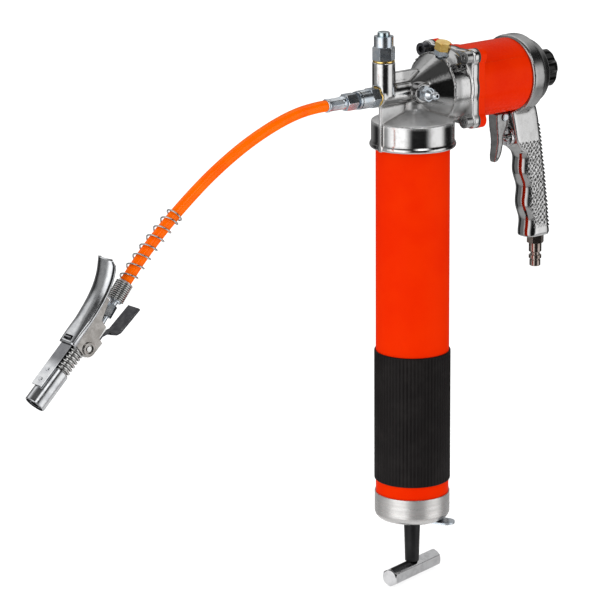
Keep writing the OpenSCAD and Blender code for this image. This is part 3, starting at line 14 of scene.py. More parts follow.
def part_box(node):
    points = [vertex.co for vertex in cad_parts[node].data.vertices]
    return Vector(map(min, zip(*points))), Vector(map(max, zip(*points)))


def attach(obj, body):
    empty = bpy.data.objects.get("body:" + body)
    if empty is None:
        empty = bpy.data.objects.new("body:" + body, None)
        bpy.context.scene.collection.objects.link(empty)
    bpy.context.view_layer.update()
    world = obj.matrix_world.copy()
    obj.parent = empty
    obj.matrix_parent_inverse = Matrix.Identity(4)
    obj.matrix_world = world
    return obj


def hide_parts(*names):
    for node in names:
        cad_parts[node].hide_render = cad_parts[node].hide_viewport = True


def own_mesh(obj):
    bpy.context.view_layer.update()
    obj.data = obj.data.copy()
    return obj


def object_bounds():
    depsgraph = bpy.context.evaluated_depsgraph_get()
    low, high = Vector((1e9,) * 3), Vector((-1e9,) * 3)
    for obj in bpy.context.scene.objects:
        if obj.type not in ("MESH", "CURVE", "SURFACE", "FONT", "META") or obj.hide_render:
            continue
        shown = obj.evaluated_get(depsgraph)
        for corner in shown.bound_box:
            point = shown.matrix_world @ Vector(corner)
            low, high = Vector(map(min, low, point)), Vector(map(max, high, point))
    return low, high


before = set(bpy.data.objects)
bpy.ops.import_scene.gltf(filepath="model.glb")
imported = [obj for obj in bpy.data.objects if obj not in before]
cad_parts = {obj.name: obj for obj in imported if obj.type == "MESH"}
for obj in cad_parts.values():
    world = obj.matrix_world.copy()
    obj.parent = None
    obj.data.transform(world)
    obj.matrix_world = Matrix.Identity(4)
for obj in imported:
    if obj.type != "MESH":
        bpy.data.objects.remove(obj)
CAD_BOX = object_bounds()

log = logging.getLogger("grease_applicator")

Colour = tuple[float, float, float]
Triple = tuple[float, float, float]
Skin = tuple[list[Vector], list[tuple[int, ...]]]

UP = (0.0, 0.0, 1.0)
FORWARD = (1.0, 0.0, 0.0)
SIDEWAYS = (0.0, 1.0, 0.0)
ORIGIN = (0.0, 0.0, 0.0)
# The axis of the motor and the outlet stands this high over the origin, as in part.scad
AXIS_H = 0.0432
# The handle's flanks are stippled between these heights
STIPPLE_TOP = -0.010
STIPPLE_FOOT = -0.081
# Points of a CAD mesh closer than this are one point
WELD = 1e-6


def node(name: str) -> bpy.types.Object:
    """Returns the CAD node of a name."""
    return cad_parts[name]


def smooth(share: float) -> float:
    """Returns a share from 0 to 1 with an even start and end."""
    held = min(max(share, 0.0), 1.0)
    return held * held * (3.0 - 2.0 * held)


def mix(low: float, high: float, share: float) -> float:
    """Returns the value at a share of the way from low to high."""
    return low + (high - low) * share


def ramp(value: float, low: float, high: float) -> float:
    """Returns a smooth step, from 0 where the value is at low to 1 where it is at high."""
    return smooth((value - low) / (high - low))


def angles(count: int) -> list[float]:
    """Returns the angles of evenly spaced points on a circle."""
    return [2.0 * math.pi * k / count for k in range(count)]


def grey(level: float) -> Colour:
    """Returns an even grey."""
    return level, level, level


# Shader values and node boards


class Term:
    """A shader value that Python's operators build Math nodes from."""

    def __init__(self, board: "Board", socket: bpy.types.NodeSocket | None) -> None:
        """Wraps one output socket.

        Args:
            board: Board whose nodes the value belongs to.
            socket: Output socket that carries the value, or None for a node without one.
        """
        self.board = board
        self.socket = socket

    def _math(self, operation: str, first: "Value", second: "Value" = 0.0) -> "Term":
        """Adds one Math node.

        Args:
            operation: Name of the Math node's operation.
            first: Its first value.
            second: Its second value.

        Returns:
            The node's result.
        """
        return self.board.add("ShaderNodeMath", {"operation": operation}, {0: first, 1: second})

    def __add__(self, other: "Value") -> "Term":
        """Returns the sum."""
        return self._math("ADD", self, other)

    __radd__ = __add__

    def __mul__(self, other: "Value") -> "Term":
        """Returns the product."""
        return self._math("MULTIPLY", self, other)

    __rmul__ = __mul__

    def __sub__(self, other: "Value") -> "Term":
        """Returns the difference."""
        return self._math("SUBTRACT", self, other)

    def __rsub__(self, other: "Value") -> "Term":
        """Returns the difference from another value."""
        return self._math("SUBTRACT", other, self)

    def __truediv__(self, other: "Value") -> "Term":
        """Returns the quotient."""
        return self._math("DIVIDE", self, other)

    def __pow__(self, other: "Value") -> "Term":
        """Returns the power."""
        return self._math("POWER", self, other)

    def size(self) -> "Term":
        """Returns the value without its sign."""
        return self._math("ABSOLUTE", self)

    def most(self, other: "Value") -> "Term":
        """Returns the greater of two values."""
        return self._math("MAXIMUM", self, other)

    def around(self, other: "Value") -> "Term":
        """Returns the angle of the point (other, self), in radians."""
        return self._math("ARCTAN2", self, other)

    def rise(self, low: float, high: float) -> "Term":
        """Returns a smooth step.

        Args:
            low: Value where the step starts, at 0.
            high: Value where it ends, at 1. It may be the lower of the two.

        Returns:
            The step, from 0 to 1.
        """
        if low > high:
            return 1.0 - self.rise(high, low)
        return self.board.add(
            "ShaderNodeMapRange", {"interpolation_type": "SMOOTHSTEP"}, {0: self, 1: low, 2: high}
        )

    def band(self, low: float, high: float, edge: float) -> "Term":
        """Returns 1 between two values and 0 outside them.

        Args:
            low: Lower side of the band.
            high: Upper side of the band.
            edge: Width of each soft side.

        Returns:
            The band's mask.
        """
        return self.rise(low - edge, low + edge) * self.rise(high + edge, high - edge)


Value = Term | float


class Board:
    """Nodes of one material or world, and the few words that finishes are written in."""

    BEVEL_SAMPLES = 6
    NOISE_ROUGHNESS = 0.55
    # How far a rounded normal leans off the face, from a sound to a worn edge
    WORN = (0.02, 0.22)
    # Pointiness, from a flat to a hollow place
    HOLLOW = (0.51, 0.46)

    def __init__(self, tree: bpy.types.NodeTree) -> None:
        """Empties a node tree.

        Args:
            tree: Tree that the board fills.
        """
        self.tree = tree
        self.tree.nodes.clear()
        self._soft: dict[float, Term] = {}
        self._place: Term | None = None

    def add(
        self,
        kind: str,
        settings: dict[str, object] | None = None,
        inputs: dict[int | str, object] | None = None,
        output: int | str = 0,
    ) -> Term:
        """Adds one node, its settings first.

        Args:
            kind: Blender's name of the node type.
            settings: Properties of the node.
            inputs: Values or terms of its input sockets, by number or name.
            output: Output socket that is wanted.

        Returns:
            That output as a term.
        """
        made = self.tree.nodes.new(kind)
        for name, value in (settings or {}).items():
            setattr(made, name, value)
        for name, value in (inputs or {}).items():
            self.feed(made.inputs[name], value)
        return Term(self, made.outputs[output]) if made.outputs else Term(self, None)

    def feed(self, socket: bpy.types.NodeSocket, value: object) -> None:
        """Links a term to an input socket, or sets its value.

        Args:
            socket: Input socket.
            value: Term, number or tuple.
        """
        if isinstance(value, Term):
            self.tree.links.new(value.socket, socket)
        elif socket.type == "RGBA" and len(value) == 3:
            socket.default_value = (*value, 1.0)
        else:
            socket.default_value = value

    @property
    def place(self) -> Term:
        """Returns the point on the object at rest."""
        if self._place is None:
            self._place = self.add("ShaderNodeTexCoord", output="Object")
        return self._place

    def part(self, axis: str, vector: Term | None = None) -> Term:
        """Returns one coordinate of a vector, or of the point on the object."""
        return self.add("ShaderNodeSeparateXYZ", inputs={0: vector or self.place}, output=axis)

    def _vector(
        self, operation: str, first: object, second: object = ORIGIN, output: str = "Vector"
    ) -> Term:
        """Adds one Vector Math node.

        Args:
            operation: Name of the node's operation.
            first: Its first vector.
            second: Its second vector.
            output: Output socket that is wanted.

        Returns:
            The node's result.
        """
        held = {i: v if isinstance(v, Term) else tuple(v) for i, v in enumerate((first, second))}
        return self.add("ShaderNodeVectorMath", {"operation": operation}, held, output)

    def shift(self, vector: Term, by: object) -> Term:
        """Returns a vector with another taken from it."""
        return self._vector("SUBTRACT", vector, by)

    def stretch(self, vector: Term, by: object) -> Term:
        """Returns a vector times another, part by part."""
        return self._vector("MULTIPLY", vector, by)

    def dot(self, vector: Term, along: object) -> Term:
        """Returns how far a vector reaches along another."""
        return self._vector("DOT_PRODUCT", vector, along, "Value")

    def length(self, vector: Term) -> Term:
        """Returns the length of a vector."""
        return self._vector("LENGTH", vector, output="Value")

    def noise(self, scale: float, detail: float = 2.0, where: Term | None = None) -> Term:
        """Returns soft noise.

        Args:
            scale: Waves per metre.
            detail: Count of finer layers.
            where: Vector that it follows, or the point on the object.

        Returns:
            Noise from 0 to 1, mostly near one half.
        """
        grain = {"Scale": scale, "Detail": detail, "Roughness": self.NOISE_ROUGHNESS}
        return self.add("ShaderNodeTexNoise", inputs={"Vector": where or self.place, **grain})

    def cells(self, scale: float) -> Term:
        """Returns the distance to the nearest of scattered points, of which scale go to a metre."""
        return self.add("ShaderNodeTexVoronoi", inputs={"Vector": self.place, "Scale": scale})

    def blend(self, mask: Value, low: object, high: object) -> Term:
        """Returns a colour between two.

        Args:
            mask: Share of the second colour.
            low: First colour or term.
            high: Second colour or term.

        Returns:
            The mixed colour.
        """
        pair = [(*c, 1.0) if isinstance(c, tuple) else c for c in (low, high)]
        return self.add("ShaderNodeMix", {"data_type": "RGBA"}, {0: mask, 6: pair[0], 7: pair[1]}, 2)

    def soft_edges(self, radius: float) -> Term:
        """Returns normals that round every edge off by a radius, made once."""
        if radius not in self._soft:
            settings = {"samples": self.BEVEL_SAMPLES}
            self._soft[radius] = self.add("ShaderNodeBevel", settings, {"Radius": radius})
        return self._soft[radius]

    def facing(self) -> Term:
        """Returns the mesh's own normal."""
        return self.add("ShaderNodeNewGeometry", output="Normal")

    def hollows(self) -> Term:
        """Returns a mask of hollow places in the mesh."""
        return self.add("ShaderNodeNewGeometry", output="Pointiness").rise(*self.HOLLOW)

    def edges(self, radius: float) -> Term:
        """Returns a mask of worn edges, found with a rounding of a radius."""
        return (1.0 - self.dot(self.soft_edges(radius), self.facing())).rise(*self.WORN)

    def bump(self, height: Term, distance: float, under: Term | None = None) -> Term:
        """Returns a normal moved by a height.

        Args:
            height: Height, from 0 to 1.
            distance: Height of 1, in metres.
            under: Normal that it lies on.

        Returns:
            The new normal.
        """
        inputs: dict[int | str, object] = {"Height": height, "Distance": distance, "Strength": 1.0}
        if under is not None:
            inputs["Normal"] = under
        return self.add("ShaderNodeBump", inputs=inputs)

    def turned(self, along: Triple, centre: Triple) -> Term:
        """Returns the coordinates of a turned piece.

        Args:
            along: Direction of the axis that it was turned on.
            centre: A point on that axis.

        Returns:
            Vector of the distance along the axis and the distance from it.
        """
        at = self.shift(self.place, centre)
        depth = self.dot(at, along)
        onto = self.add("ShaderNodeVectorMath", {"operation": "SCALE"}, {0: along, "Scale": depth})
        off = self.length(self.shift(at, onto))
        return self.add("ShaderNodeCombineXYZ", inputs={0: depth, 1: off})

    def surface(self, **inputs: object) -> None:
        """Adds the shader and the output.

        Args:
            inputs: Values or terms of the shader's sockets, with _ for a space.
        """
        named = {name.replace("_", " "): value for name, value in inputs.items()}
        shader = self.add("ShaderNodeBsdfPrincipled", inputs=named)
        self.add("ShaderNodeOutputMaterial", inputs={"Surface": shader})


# Finishes. Each size is in metres. In shade(), noise(waves to a metre, layers).rise(none, full) is a mask
# of patches, and a field such as stained or drift_matt is how much its mask counts.


class Slot(Enum):
    """Material slots that the finishes belong to."""

    ENAMEL = "orange_paint"
    CAST = "cast_aluminium"
    ZINC = "zinc_plate"
    SATIN = "satin_steel"
    DULL = "dull_steel"
    CHROME = "chrome_plate"
    BRASS = "brass"
    RUBBER = "black_rubber"
    PLASTIC = "black_plastic"
    JACKET = "hose_jacket"


@dataclass(frozen=True)
class Finish:
    """What every finish has: a name, a slot and a way onto a piece."""

    name: str
    slot: Slot

    def shade(self, board: Board) -> None:
        """Fills a board with this finish's nodes."""
        raise NotImplementedError

    def material(self) -> bpy.types.Material:
        """Returns the finish's material, made once.

        Returns:
            The material.
        """
        found = bpy.data.materials.get(self.name)
        if found is None:
            found = bpy.data.materials.new(self.name)
            found.use_nodes = True
            self.shade(Board(found.node_tree))
        return found

    def dress(self, *pieces: bpy.types.Object) -> None:
        """Puts the finish on CAD nodes and new pieces.

        Args:
            pieces: Objects that get it.
        """
        for piece in pieces:
            if not piece.material_slots:
                piece.data.materials.append(self.material())
            for held in piece.material_slots:
                held.material = self.material()
            log.info("%s wears %s", piece.name, self.name)


@dataclass(frozen=True)
class Enamel(Finish):
    """Glossy enamel with a faint orange-peel skin, thinner and lighter on edges."""

    colour: Colour
    deep: Colour
    roughness: float
    coat: float
    specular: float
    thin: Colour = (0.9, 0.1, 0.01)
    worn: float = 0.55
    dusty: float = 0.1
    peel_depth: float = 0.000016
    corner_r: float = 0.0007

    def shade(self, board: Board) -> None:
        """Fills a board with the enamel's nodes.

        Args:
            board: Board of the material.
        """
        drift = board.noise(26.0, 3.0).rise(0.3, 0.72)
        dust = board.noise(420.0, 4.0).rise(0.4, 0.8)
        peel = board.noise(520.0, 1.0)
        colour = board.blend(drift, self.colour, self.deep)
        board.surface(
            Base_Color=board.blend(board.edges(self.corner_r) * self.worn, colour, self.thin),
            Roughness=self.roughness + self.dusty * dust,
            Coat_Weight=self.coat,
            Coat_Roughness=0.05,
            Specular_IOR_Level=self.specular,
            Normal=board.bump(peel, self.peel_depth, board.soft_edges(self.corner_r)),
        )


@dataclass(frozen=True)
class CastMetal(Finish):
    """Die-cast aluminium, polished by hand over a slightly uneven skin."""

    colour: Colour = grey(0.66)
    # shadow is the colour of stains and pits, and of the painted shade in the hollows
    shadow: Colour = (0.27, 0.26, 0.25)
    # dark is the colour of the painted shade
    dark: Colour = grey(0.09)
    worn: Colour = grey(0.93)
    roughness: float = 0.1
    # Depths of the skin's unevenness, and the rounding of its edges
    grain: float = 0.00002
    swell: float = 0.00006
    dent: float = 0.000015
    corner_r: float = 0.0009
    # Heights where the dents fade in over the collar, and of the web; the cone's place along x and up
    dents_z: tuple[float, float] = (0.0185, 0.0215)
    web_z: tuple[float, float] = (0.0195, 0.0350)
    web_pale: float = 0.35
    web_satin: float = 0.9
    cast_satin: float = 0.35
    cone_x: tuple[float, float] = (-0.012, 0.0262)
    cone_z: tuple[float, float] = (0.026, 0.032)
    cone_painted_shade: float = 0.42
    fade: float = 0.002
    brushing: Triple = (1.0, 0.12, 0.5)
    # How much each mask counts
    stained: float = 0.3
    pitted: float = 0.5
    hollow_painted_shade: float = 0.75
    polished: float = 0.4
    satin_matt: float = 0.2
    scratch_matt: float = 0.05
    pit_matt: float = 0.12

    def web(self, board: Board) -> Value:
        """Returns the mask of the web and the shoulders over the collar."""
        return board.part("Z").band(*self.web_z, self.fade)

    def satin(self, board: Board) -> Value:
        """Returns the mask of places left as cast or sanded, most of all the web."""
        sanded = board.noise(45.0, 4.0).rise(0.5, 0.75) * self.cast_satin
        return sanded.most(self.web(board) * self.web_satin)

    def painted_shade(self, board: Board) -> Value:
        """Returns the mask of painted shade on the cone's sides."""
        sides = board.part("X").band(*self.cone_x, self.fade) * board.part("Z").rise(*self.cone_z)
        return sides * self.cone_painted_shade

    def relief(self, board: Board) -> Term:
        """Returns the normal of the casting's skin.

        Args:
            board: Board of the material.

        Returns:
            The normal, with swell, dents and grain.
        """
        swell = board.bump(board.noise(60.0, 1.0), self.swell, board.soft_edges(self.corner_r))
        dents = board.cells(640.0).rise(0.9, 0.1) * board.part("Z").rise(*self.dents_z)
        return board.bump(board.noise(2600.0, 3.0), self.grain, board.bump(dents, self.dent, swell))

    def shade(self, board: Board) -> None:
        """Fills a board with the casting's nodes.

        Args:
            board: Board of the material.
        """
        stain = board.noise(160.0, 5.0).rise(0.45, 0.8)
        scratch = board.noise(900.0, 2.0, board.stretch(board.place, self.brushing)).rise(0.55, 0.75)
        pits = board.cells(520.0).rise(0.16, 0.05)
        # Pits darken as real pitting; the mesh's hollows darken as painted shade
        pits_and_painted_shade = (pits * self.pitted).most(board.hollows() * self.hollow_painted_shade)
        colour = board.blend(stain * self.stained, self.colour, self.shadow)
        colour = board.blend(pits_and_painted_shade, colour, self.shadow)
        # Painted shade: on the head it is the cone's sides; on the handle it is the teeth, pits, front and
        # rear cap
        colour = board.blend(self.painted_shade(board), colour, self.dark)
        matt = self.satin_matt * self.satin(board) + self.scratch_matt * scratch + self.pit_matt * pits
        board.surface(
            Base_Color=board.blend(board.edges(self.corner_r) * self.polished, colour, self.worn),
            Metallic=1.0 - self.web_pale * self.web(board),
            Roughness=self.roughness + matt,
            Normal=self.relief(board),
        )


@dataclass(frozen=True)
class HandleMetal(CastMetal):
    """Cast handle: stippled flanks, a serrated back and polished finger grooves."""

    # The flanks' distance from the middle, and the line of the back, which leans and bows
    side_y: float = 0.0085
    handle_top: float = 0.018
    handle_h: float = 0.108
    back_top: float = 0.1206
    lean: float = 0.0176
    bow: float = 0.7
    # The teeth's painted shade begins and is full this far in front of that line
    tooth_root: float = 0.0046
    tooth_tip: float = 0.003
    teeth_z: tuple[float, float] = (0.006, 0.002)
    rear_z: tuple[float, float] = (0.012, 0.016)
    sanded_z: tuple[float, float] = (-0.02, 0.0)
    facing_front: tuple[float, float] = (-0.3, -0.7)
    stray: float = 0.003
    edge: float = 0.0006
    pebble_swell: float = 0.0001
    pebble_depth: float = 0.00008
    pebble_grain: float = 0.15
    # How much each mask counts
    upper_satin: float = 0.7
    flank_satin: float = 0.5
    teeth_painted_shade: float = 0.95
    pits_painted_shade: float = 0.85
    front_painted_shade: float = 0.45
    rear_painted_shade: float = 0.4

    def web(self, board: Board) -> Value:
        """Returns no mask, for the handle has no web."""
        return 0.0

    def flank(self, board: Board) -> Term:
        """Returns the mask of the stippled flanks.

        Args:
            board: Board of the material.

        Returns:
            The mask, from 0 to 1.
        """
        height = board.part("Z") + board.noise(300.0, 2.0) * self.stray
        side = board.part("Y").size().rise(self.side_y - self.edge, self.side_y)
        return side * height.band(STIPPLE_FOOT, STIPPLE_TOP, self.edge)

    def satin(self, board: Board) -> Value:
        """Returns the mask of the handle's upper half and flanks, which are sanded."""
        upper = board.part("Z").rise(*self.sanded_z)
        return upper * self.upper_satin + self.flank(board) * self.flank_satin

    def painted_shade(self, board: Board) -> Value:
        """Returns the mask of painted shade: in the teeth, in the stipple's pits, on the front and on the
        rear cap.

        Args:
            board: Board of the material.

        Returns:
            The mask, from 0 to 1.
        """
        height = board.part("Z")
        drop = ((self.handle_top - height) / self.handle_h).most(0.0)
        back = self.back_top + self.lean * drop ** self.bow
        # Painted shade in the teeth of the back
        teeth = (board.part("X") - back).rise(-self.tooth_root, -self.tooth_tip) * height.rise(*self.teeth_z)
        # Painted shade in the stipple's pits
        pits = board.hollows() * self.flank(board)
        # Painted shade on the rear cap
        rear = height.rise(*self.rear_z)
        # Painted shade on faces turned to the front
        front = board.part("X", board.facing()).rise(*self.facing_front) * (1.0 - rear)
        darker = (teeth * self.teeth_painted_shade).most(pits * self.pits_painted_shade)
        return darker.most(rear * self.rear_painted_shade).most(front * self.front_painted_shade)

    def relief(self, board: Board) -> Term:
        """Returns the normal of the skin, with its fine stipple.

        Args:
            board: Board of the material.

        Returns:
            The normal, with swell and pebbles.
        """
        pebbles = board.cells(1100.0).rise(0.75, 0.1) * self.flank(board)
        skin = board.bump(board.noise(50.0, 1.0), self.pebble_swell, board.soft_edges(self.corner_r))
        return board.bump(pebbles + self.pebble_grain * board.noise(2400.0, 3.0), self.pebble_depth, skin)


@dataclass(frozen=True)
class Turned(Finish):
    """Metal with the fine rings of a lathe round one axis."""

    along: Triple
    centre: Triple
    colour: Colour
    roughness: float
    shadow: float = 0.72
    band_dark: float = 0.35
    stain_dark: float = 0.2
    band_matt: float = 0.14
    stain_matt: float = 0.05
    line_depth: float = 0.00001
    corner_r: float = 0.0005

    def shade(self, board: Board) -> None:
        """Fills a board with the turned metal's nodes.

        Args:
            board: Board of the material.
        """
        where = board.turned(self.along, self.centre)
        rings = board.noise(5200.0, 3.0, where)
        bands = board.noise(380.0, 3.0, where)
        stain = board.noise(120.0, 4.0).rise(0.4, 0.8)
        dark = tuple(self.shadow * c for c in self.colour)
        darker = bands.rise(0.4, 0.75) * self.band_dark + stain * self.stain_dark
        board.surface(
            Base_Color=board.blend(darker, self.colour, dark),
            Metallic=1.0,
            Roughness=self.roughness + self.band_matt * bands.rise(0.35, 0.75) + self.stain_matt * stain,
            Anisotropic=0.45,
            Normal=board.bump(rings, self.line_depth, board.soft_edges(self.corner_r)),
        )


@dataclass(frozen=True)
class Plated(Finish):
    """Plated steel: thin bright metal over a faintly uneven base, with worn corners."""

    colour: Colour
    tint: Colour
    roughness: float
    worn: Colour = grey(0.86)
    corner_r: float = 0.0003
    swell: float = 0.00003
    grain: float = 0.000012
    edge_worn: float = 0.6
    smudge_matt: float = 0.1
    drift_matt: float = 0.06

    def tone(self, board: Board) -> Term:
        """Returns the metal's colour."""
        return board.blend(board.noise(210.0, 3.0).rise(0.35, 0.7), self.colour, self.tint)

    def shade(self, board: Board) -> None:
        """Fills a board with the plating's nodes.

        Args:
            board: Board of the material.
        """
        drift = board.noise(210.0, 3.0)
        smudge = board.noise(90.0, 5.0).rise(0.42, 0.8)
        colour = self.tone(board)
        under = None
        if self.corner_r > 0.0:
            under = board.soft_edges(self.corner_r)
            colour = board.blend(board.edges(self.corner_r) * self.edge_worn, colour, self.worn)
        base = board.bump(board.noise(240.0, 2.0), self.swell, under)
        board.surface(
            Base_Color=colour,
            Metallic=1.0,
            Roughness=self.roughness + self.smudge_matt * smudge + self.drift_matt * drift,
            Normal=board.bump(board.noise(3400.0, 3.0), self.grain, base),
        )


@dataclass(frozen=True)
class Strap(Plated):
    """Plated strip, with painted shade over a stretch of its length."""

    start: Triple = ORIGIN
    along: Triple = FORWARD
    # Stretch along the strip that gets painted shade, and the shade's colour and strength
    stretch: tuple[float, float] = (-0.004, 0.006)
    shadow: Colour = (0.12, 0.12, 0.13)
    depth: float = 0.8

    def tone(self, board: Board) -> Term:
        """Returns the strip's colour, with painted shade over a stretch of its length."""
        reach = board.dot(board.shift(board.place, self.start), self.along)
        return board.blend(reach.rise(*self.stretch) * self.depth, super().tone(board), self.shadow)


@dataclass(frozen=True)
class Rubber(Finish):
    """Black rubber or plastic with a fine moulded grain and a little dust."""

    colour: Colour
    dust: Colour
    roughness: float
    grain: float = 0.00002
    corner_r: float = 0.0004
    coat: float = 0.0
    specular: float = 0.15
    drift_dusty: float = 0.6
    edge_dusty: float = 0.4
    drift_matt: float = 0.12
    edge_gloss: float = 0.06

    def shade(self, board: Board) -> None:
        """Fills a board with the moulding's nodes.

        Args:
            board: Board of the material.
        """
        drift = board.noise(60.0, 4.0)
        specks = board.noise(1500.0, 3.0)
        edge = board.edges(self.corner_r)
        dusty = drift.rise(0.4, 0.8) * self.drift_dusty + edge * self.edge_dusty
        board.surface(
            Base_Color=board.blend(dusty, self.colour, self.dust),
            Roughness=self.roughness + self.drift_matt * drift - self.edge_gloss * edge,
            Coat_Weight=self.coat,
            Coat_Roughness=0.12,
            Specular_IOR_Level=self.specular,
            Normal=board.bump(specks, self.grain, board.soft_edges(self.corner_r)),
        )


@dataclass(frozen=True)
class Jacket(Finish):
    """Smooth bright hose jacket with a soft gloss."""

    colour: Colour
    deep: Colour
    roughness: float = 0.26
    ripple_matt: float = 0.1
    ripple_depth: float = 0.000002

    def shade(self, board: Board) -> None:
        """Fills a board with the jacket's nodes.

        Args:
            board: Board of the material.
        """
        drift = board.noise(50.0, 3.0)
        ripple = board.noise(420.0, 2.0)
        board.surface(
            Base_Color=board.blend(drift.rise(0.35, 0.75), self.colour, self.deep),
            Roughness=self.roughness + self.ripple_matt * ripple.rise(0.4, 0.8),
            Coat_Weight=0.4,
            Coat_Roughness=0.08,
            Specular_IOR_Level=0.0,
            Normal=board.bump(ripple, self.ripple_depth),
        )


RED = Enamel(
    "red_enamel", Slot.ENAMEL, colour=(0.78, 0.040, 0.0006), deep=(0.72, 0.028, 0.0004),
    roughness=0.25, coat=0.1, specular=0.02,
)
ORANGE = Enamel(
    "barrel_enamel", Slot.ENAMEL, colour=(0.82, 0.040, 0.0003), deep=(0.79, 0.031, 0.0002),
    roughness=0.3, coat=0.02, specular=0.01,
)
HEAD = CastMetal("head_metal", Slot.CAST)
HANDLE = HandleMetal("handle_metal", Slot.CAST, roughness=0.08)
ZINC = Plated(
    "bright_zinc", Slot.ZINC, colour=(0.58, 0.64, 0.70), tint=(0.70, 0.72, 0.74), roughness=0.22,
    corner_r=0.0002,
)
SCREW = Plated("screw_zinc", Slot.ZINC, colour=grey(0.42), tint=grey(0.54), roughness=0.22)
BLUE_ZINC = Plated(
    "blue_zinc", Slot.ZINC, colour=(0.50, 0.62, 0.66), tint=(0.68, 0.74, 0.76), roughness=0.12,
    corner_r=0.0002,
)
NICKEL = Plated(
    "warm_nickel", Slot.ZINC, colour=(0.42, 0.37, 0.34), tint=(0.30, 0.25, 0.22), roughness=0.16,
    worn=(0.8, 0.74, 0.7), corner_r=0.0002, swell=0.00008,
)
SPRING = Plated(
    "spring_wire", Slot.SATIN, colour=(0.58, 0.58, 0.57), tint=(0.70, 0.70, 0.69), roughness=0.16,
    corner_r=0.0, swell=0.00001,
)
# Dark steel: the far upper screw, and painted shade on the jaws inside the coupler's mouth
DARK_STEEL = Plated(
    "dark_steel_and_painted_shade", Slot.DULL, colour=(0.10, 0.10, 0.11), tint=(0.16, 0.16, 0.17), roughness=0.3,
    worn=(0.35, 0.35, 0.36), corner_r=0.0004, swell=0.00008,
)
DULL = Plated(
    "dull_steel_sheet", Slot.DULL, colour=(0.29, 0.275, 0.26), tint=(0.40, 0.385, 0.37), roughness=0.15,
    worn=(0.85, 0.85, 0.84), corner_r=0.0004, swell=0.00008,
)
DARK_REST = Plated(
    "dark_steel_sheet", Slot.DULL, colour=(0.06, 0.06, 0.066), tint=(0.10, 0.10, 0.105), roughness=0.24,
    worn=grey(0.9), corner_r=0.0004, swell=0.00008,
)
CHROME = Plated(
    "chrome", Slot.CHROME, colour=(0.90, 0.90, 0.91), tint=(0.86, 0.87, 0.89), roughness=0.06,
    worn=grey(0.97), corner_r=0.0004, swell=0.00006,
)
TEE = Plated(
    "tee_chrome", Slot.CHROME, colour=(0.72, 0.72, 0.73), tint=(0.62, 0.62, 0.63), roughness=0.08,
    corner_r=0.0006, swell=0.00005,
)
LEVER = Plated(
    "polished_lever", Slot.CHROME, colour=(0.68, 0.69, 0.70), tint=(0.54, 0.55, 0.57), roughness=0.12,
    swell=0.00004,
)
TRIGGER = Plated("trigger_chrome", Slot.CHROME, colour=grey(0.38), tint=grey(0.28), roughness=0.07)
BRASS = Plated(
    "brass_metal", Slot.BRASS, colour=(0.95, 0.70, 0.26), tint=(0.86, 0.56, 0.17), roughness=0.1,
    worn=(1.0, 0.86, 0.5), corner_r=0.0002, swell=0.00008,
)
CAP = Turned("turned_cap", Slot.SATIN, along=UP, centre=ORIGIN, colour=(0.66, 0.65, 0.64), roughness=0.24)
FLUTED = Rubber(
    "fluted_rubber", Slot.RUBBER, colour=(0.010, 0.008, 0.008), dust=(0.026, 0.023, 0.022),
    roughness=0.36, specular=0.22,
)
FIBRE = Rubber("gasket_fibre", Slot.RUBBER, colour=(0.10, 0.095, 0.09), dust=(0.2, 0.19, 0.18), roughness=0.7)
SEAL = Rubber("seal_rubber", Slot.RUBBER, colour=(0.014, 0.014, 0.015), dust=grey(0.05), roughness=0.5)
KNOB = Rubber(
    "knob_plastic", Slot.PLASTIC, colour=grey(0.004), dust=grey(0.01), roughness=0.2,
    corner_r=0.0007, coat=0.5,
)
SHANK = Rubber(
    "shank_plastic", Slot.PLASTIC, colour=(0.010, 0.010, 0.011), dust=grey(0.03), roughness=0.26, coat=0.3
)
JACKET = Jacket("hose_jacket_skin", Slot.JACKET, colour=(1.0, 0.185, 0.0005), deep=(1.0, 0.135, 0.0005))


# Meshes


def new_object(name: str, data: bpy.types.ID) -> bpy.types.Object:
    """Makes an object and puts it into the scene.

    Args:
        name: Name of the object.
        data: Its mesh or camera.

    Returns:
        The object.
    """
    made = bpy.data.objects.new(name, data)
    bpy.context.scene.collection.objects.link(made)
    return made


def shade_smooth(mesh: bpy.types.Mesh) -> None:
    """Smooths the shading of all faces."""
    mesh.polygons.foreach_set("use_smooth", [True] * len(mesh.polygons))


def piece_of(name: str, body: str, form: Skin) -> bpy.types.Object:
    """Makes one smooth-shaded piece and lets it ride on a body.

    Args:
        name: Name of the piece.
        body: CAD body that it moves with.
        form: Its points, in metres, and the point numbers of each face.

    Returns:
        The piece.
    """
    points, faces = form
    mesh = bpy.data.meshes.new(name)
    mesh.from_pydata([tuple(p) for p in points], [], faces)
    mesh.validate()
    shape = bmesh.new()
    shape.from_mesh(mesh)
    bmesh.ops.recalc_face_normals(shape, faces=shape.faces)
    shape.to_mesh(mesh)
    shape.free()
    shade_smooth(mesh)
    piece = new_object(name, mesh)
    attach(piece, body)
    log.info("%s has %d faces and rides on %s", name, len(mesh.polygons), body)
    return piece


def skin(rings: Sequence[Sequence[Vector]], looped: bool = False) -> Skin:
    """Closes a skin over rings of equal length.

    Args:
        rings: Rings of points, from one end to the other.
        looped: Whether the last ring joins the first, in place of two flat ends.

    Returns:
        Points and faces.
    """
    around = len(rings[0])
    points = [point for ring in rings for point in ring]
    faces: list[tuple[int, ...]] = []
    for i in range(len(rings) if looped else len(rings) - 1):
        row, up = i * around, (i + 1) % len(rings) * around
        for j in range(around):
            k = (j + 1) % around
            faces.append((row + j, row + k, up + k, up + j))
    if not looped:
        faces.append(tuple(range(around)))
        faces.append(tuple(range(len(points) - around, len(points))))
    return points, faces


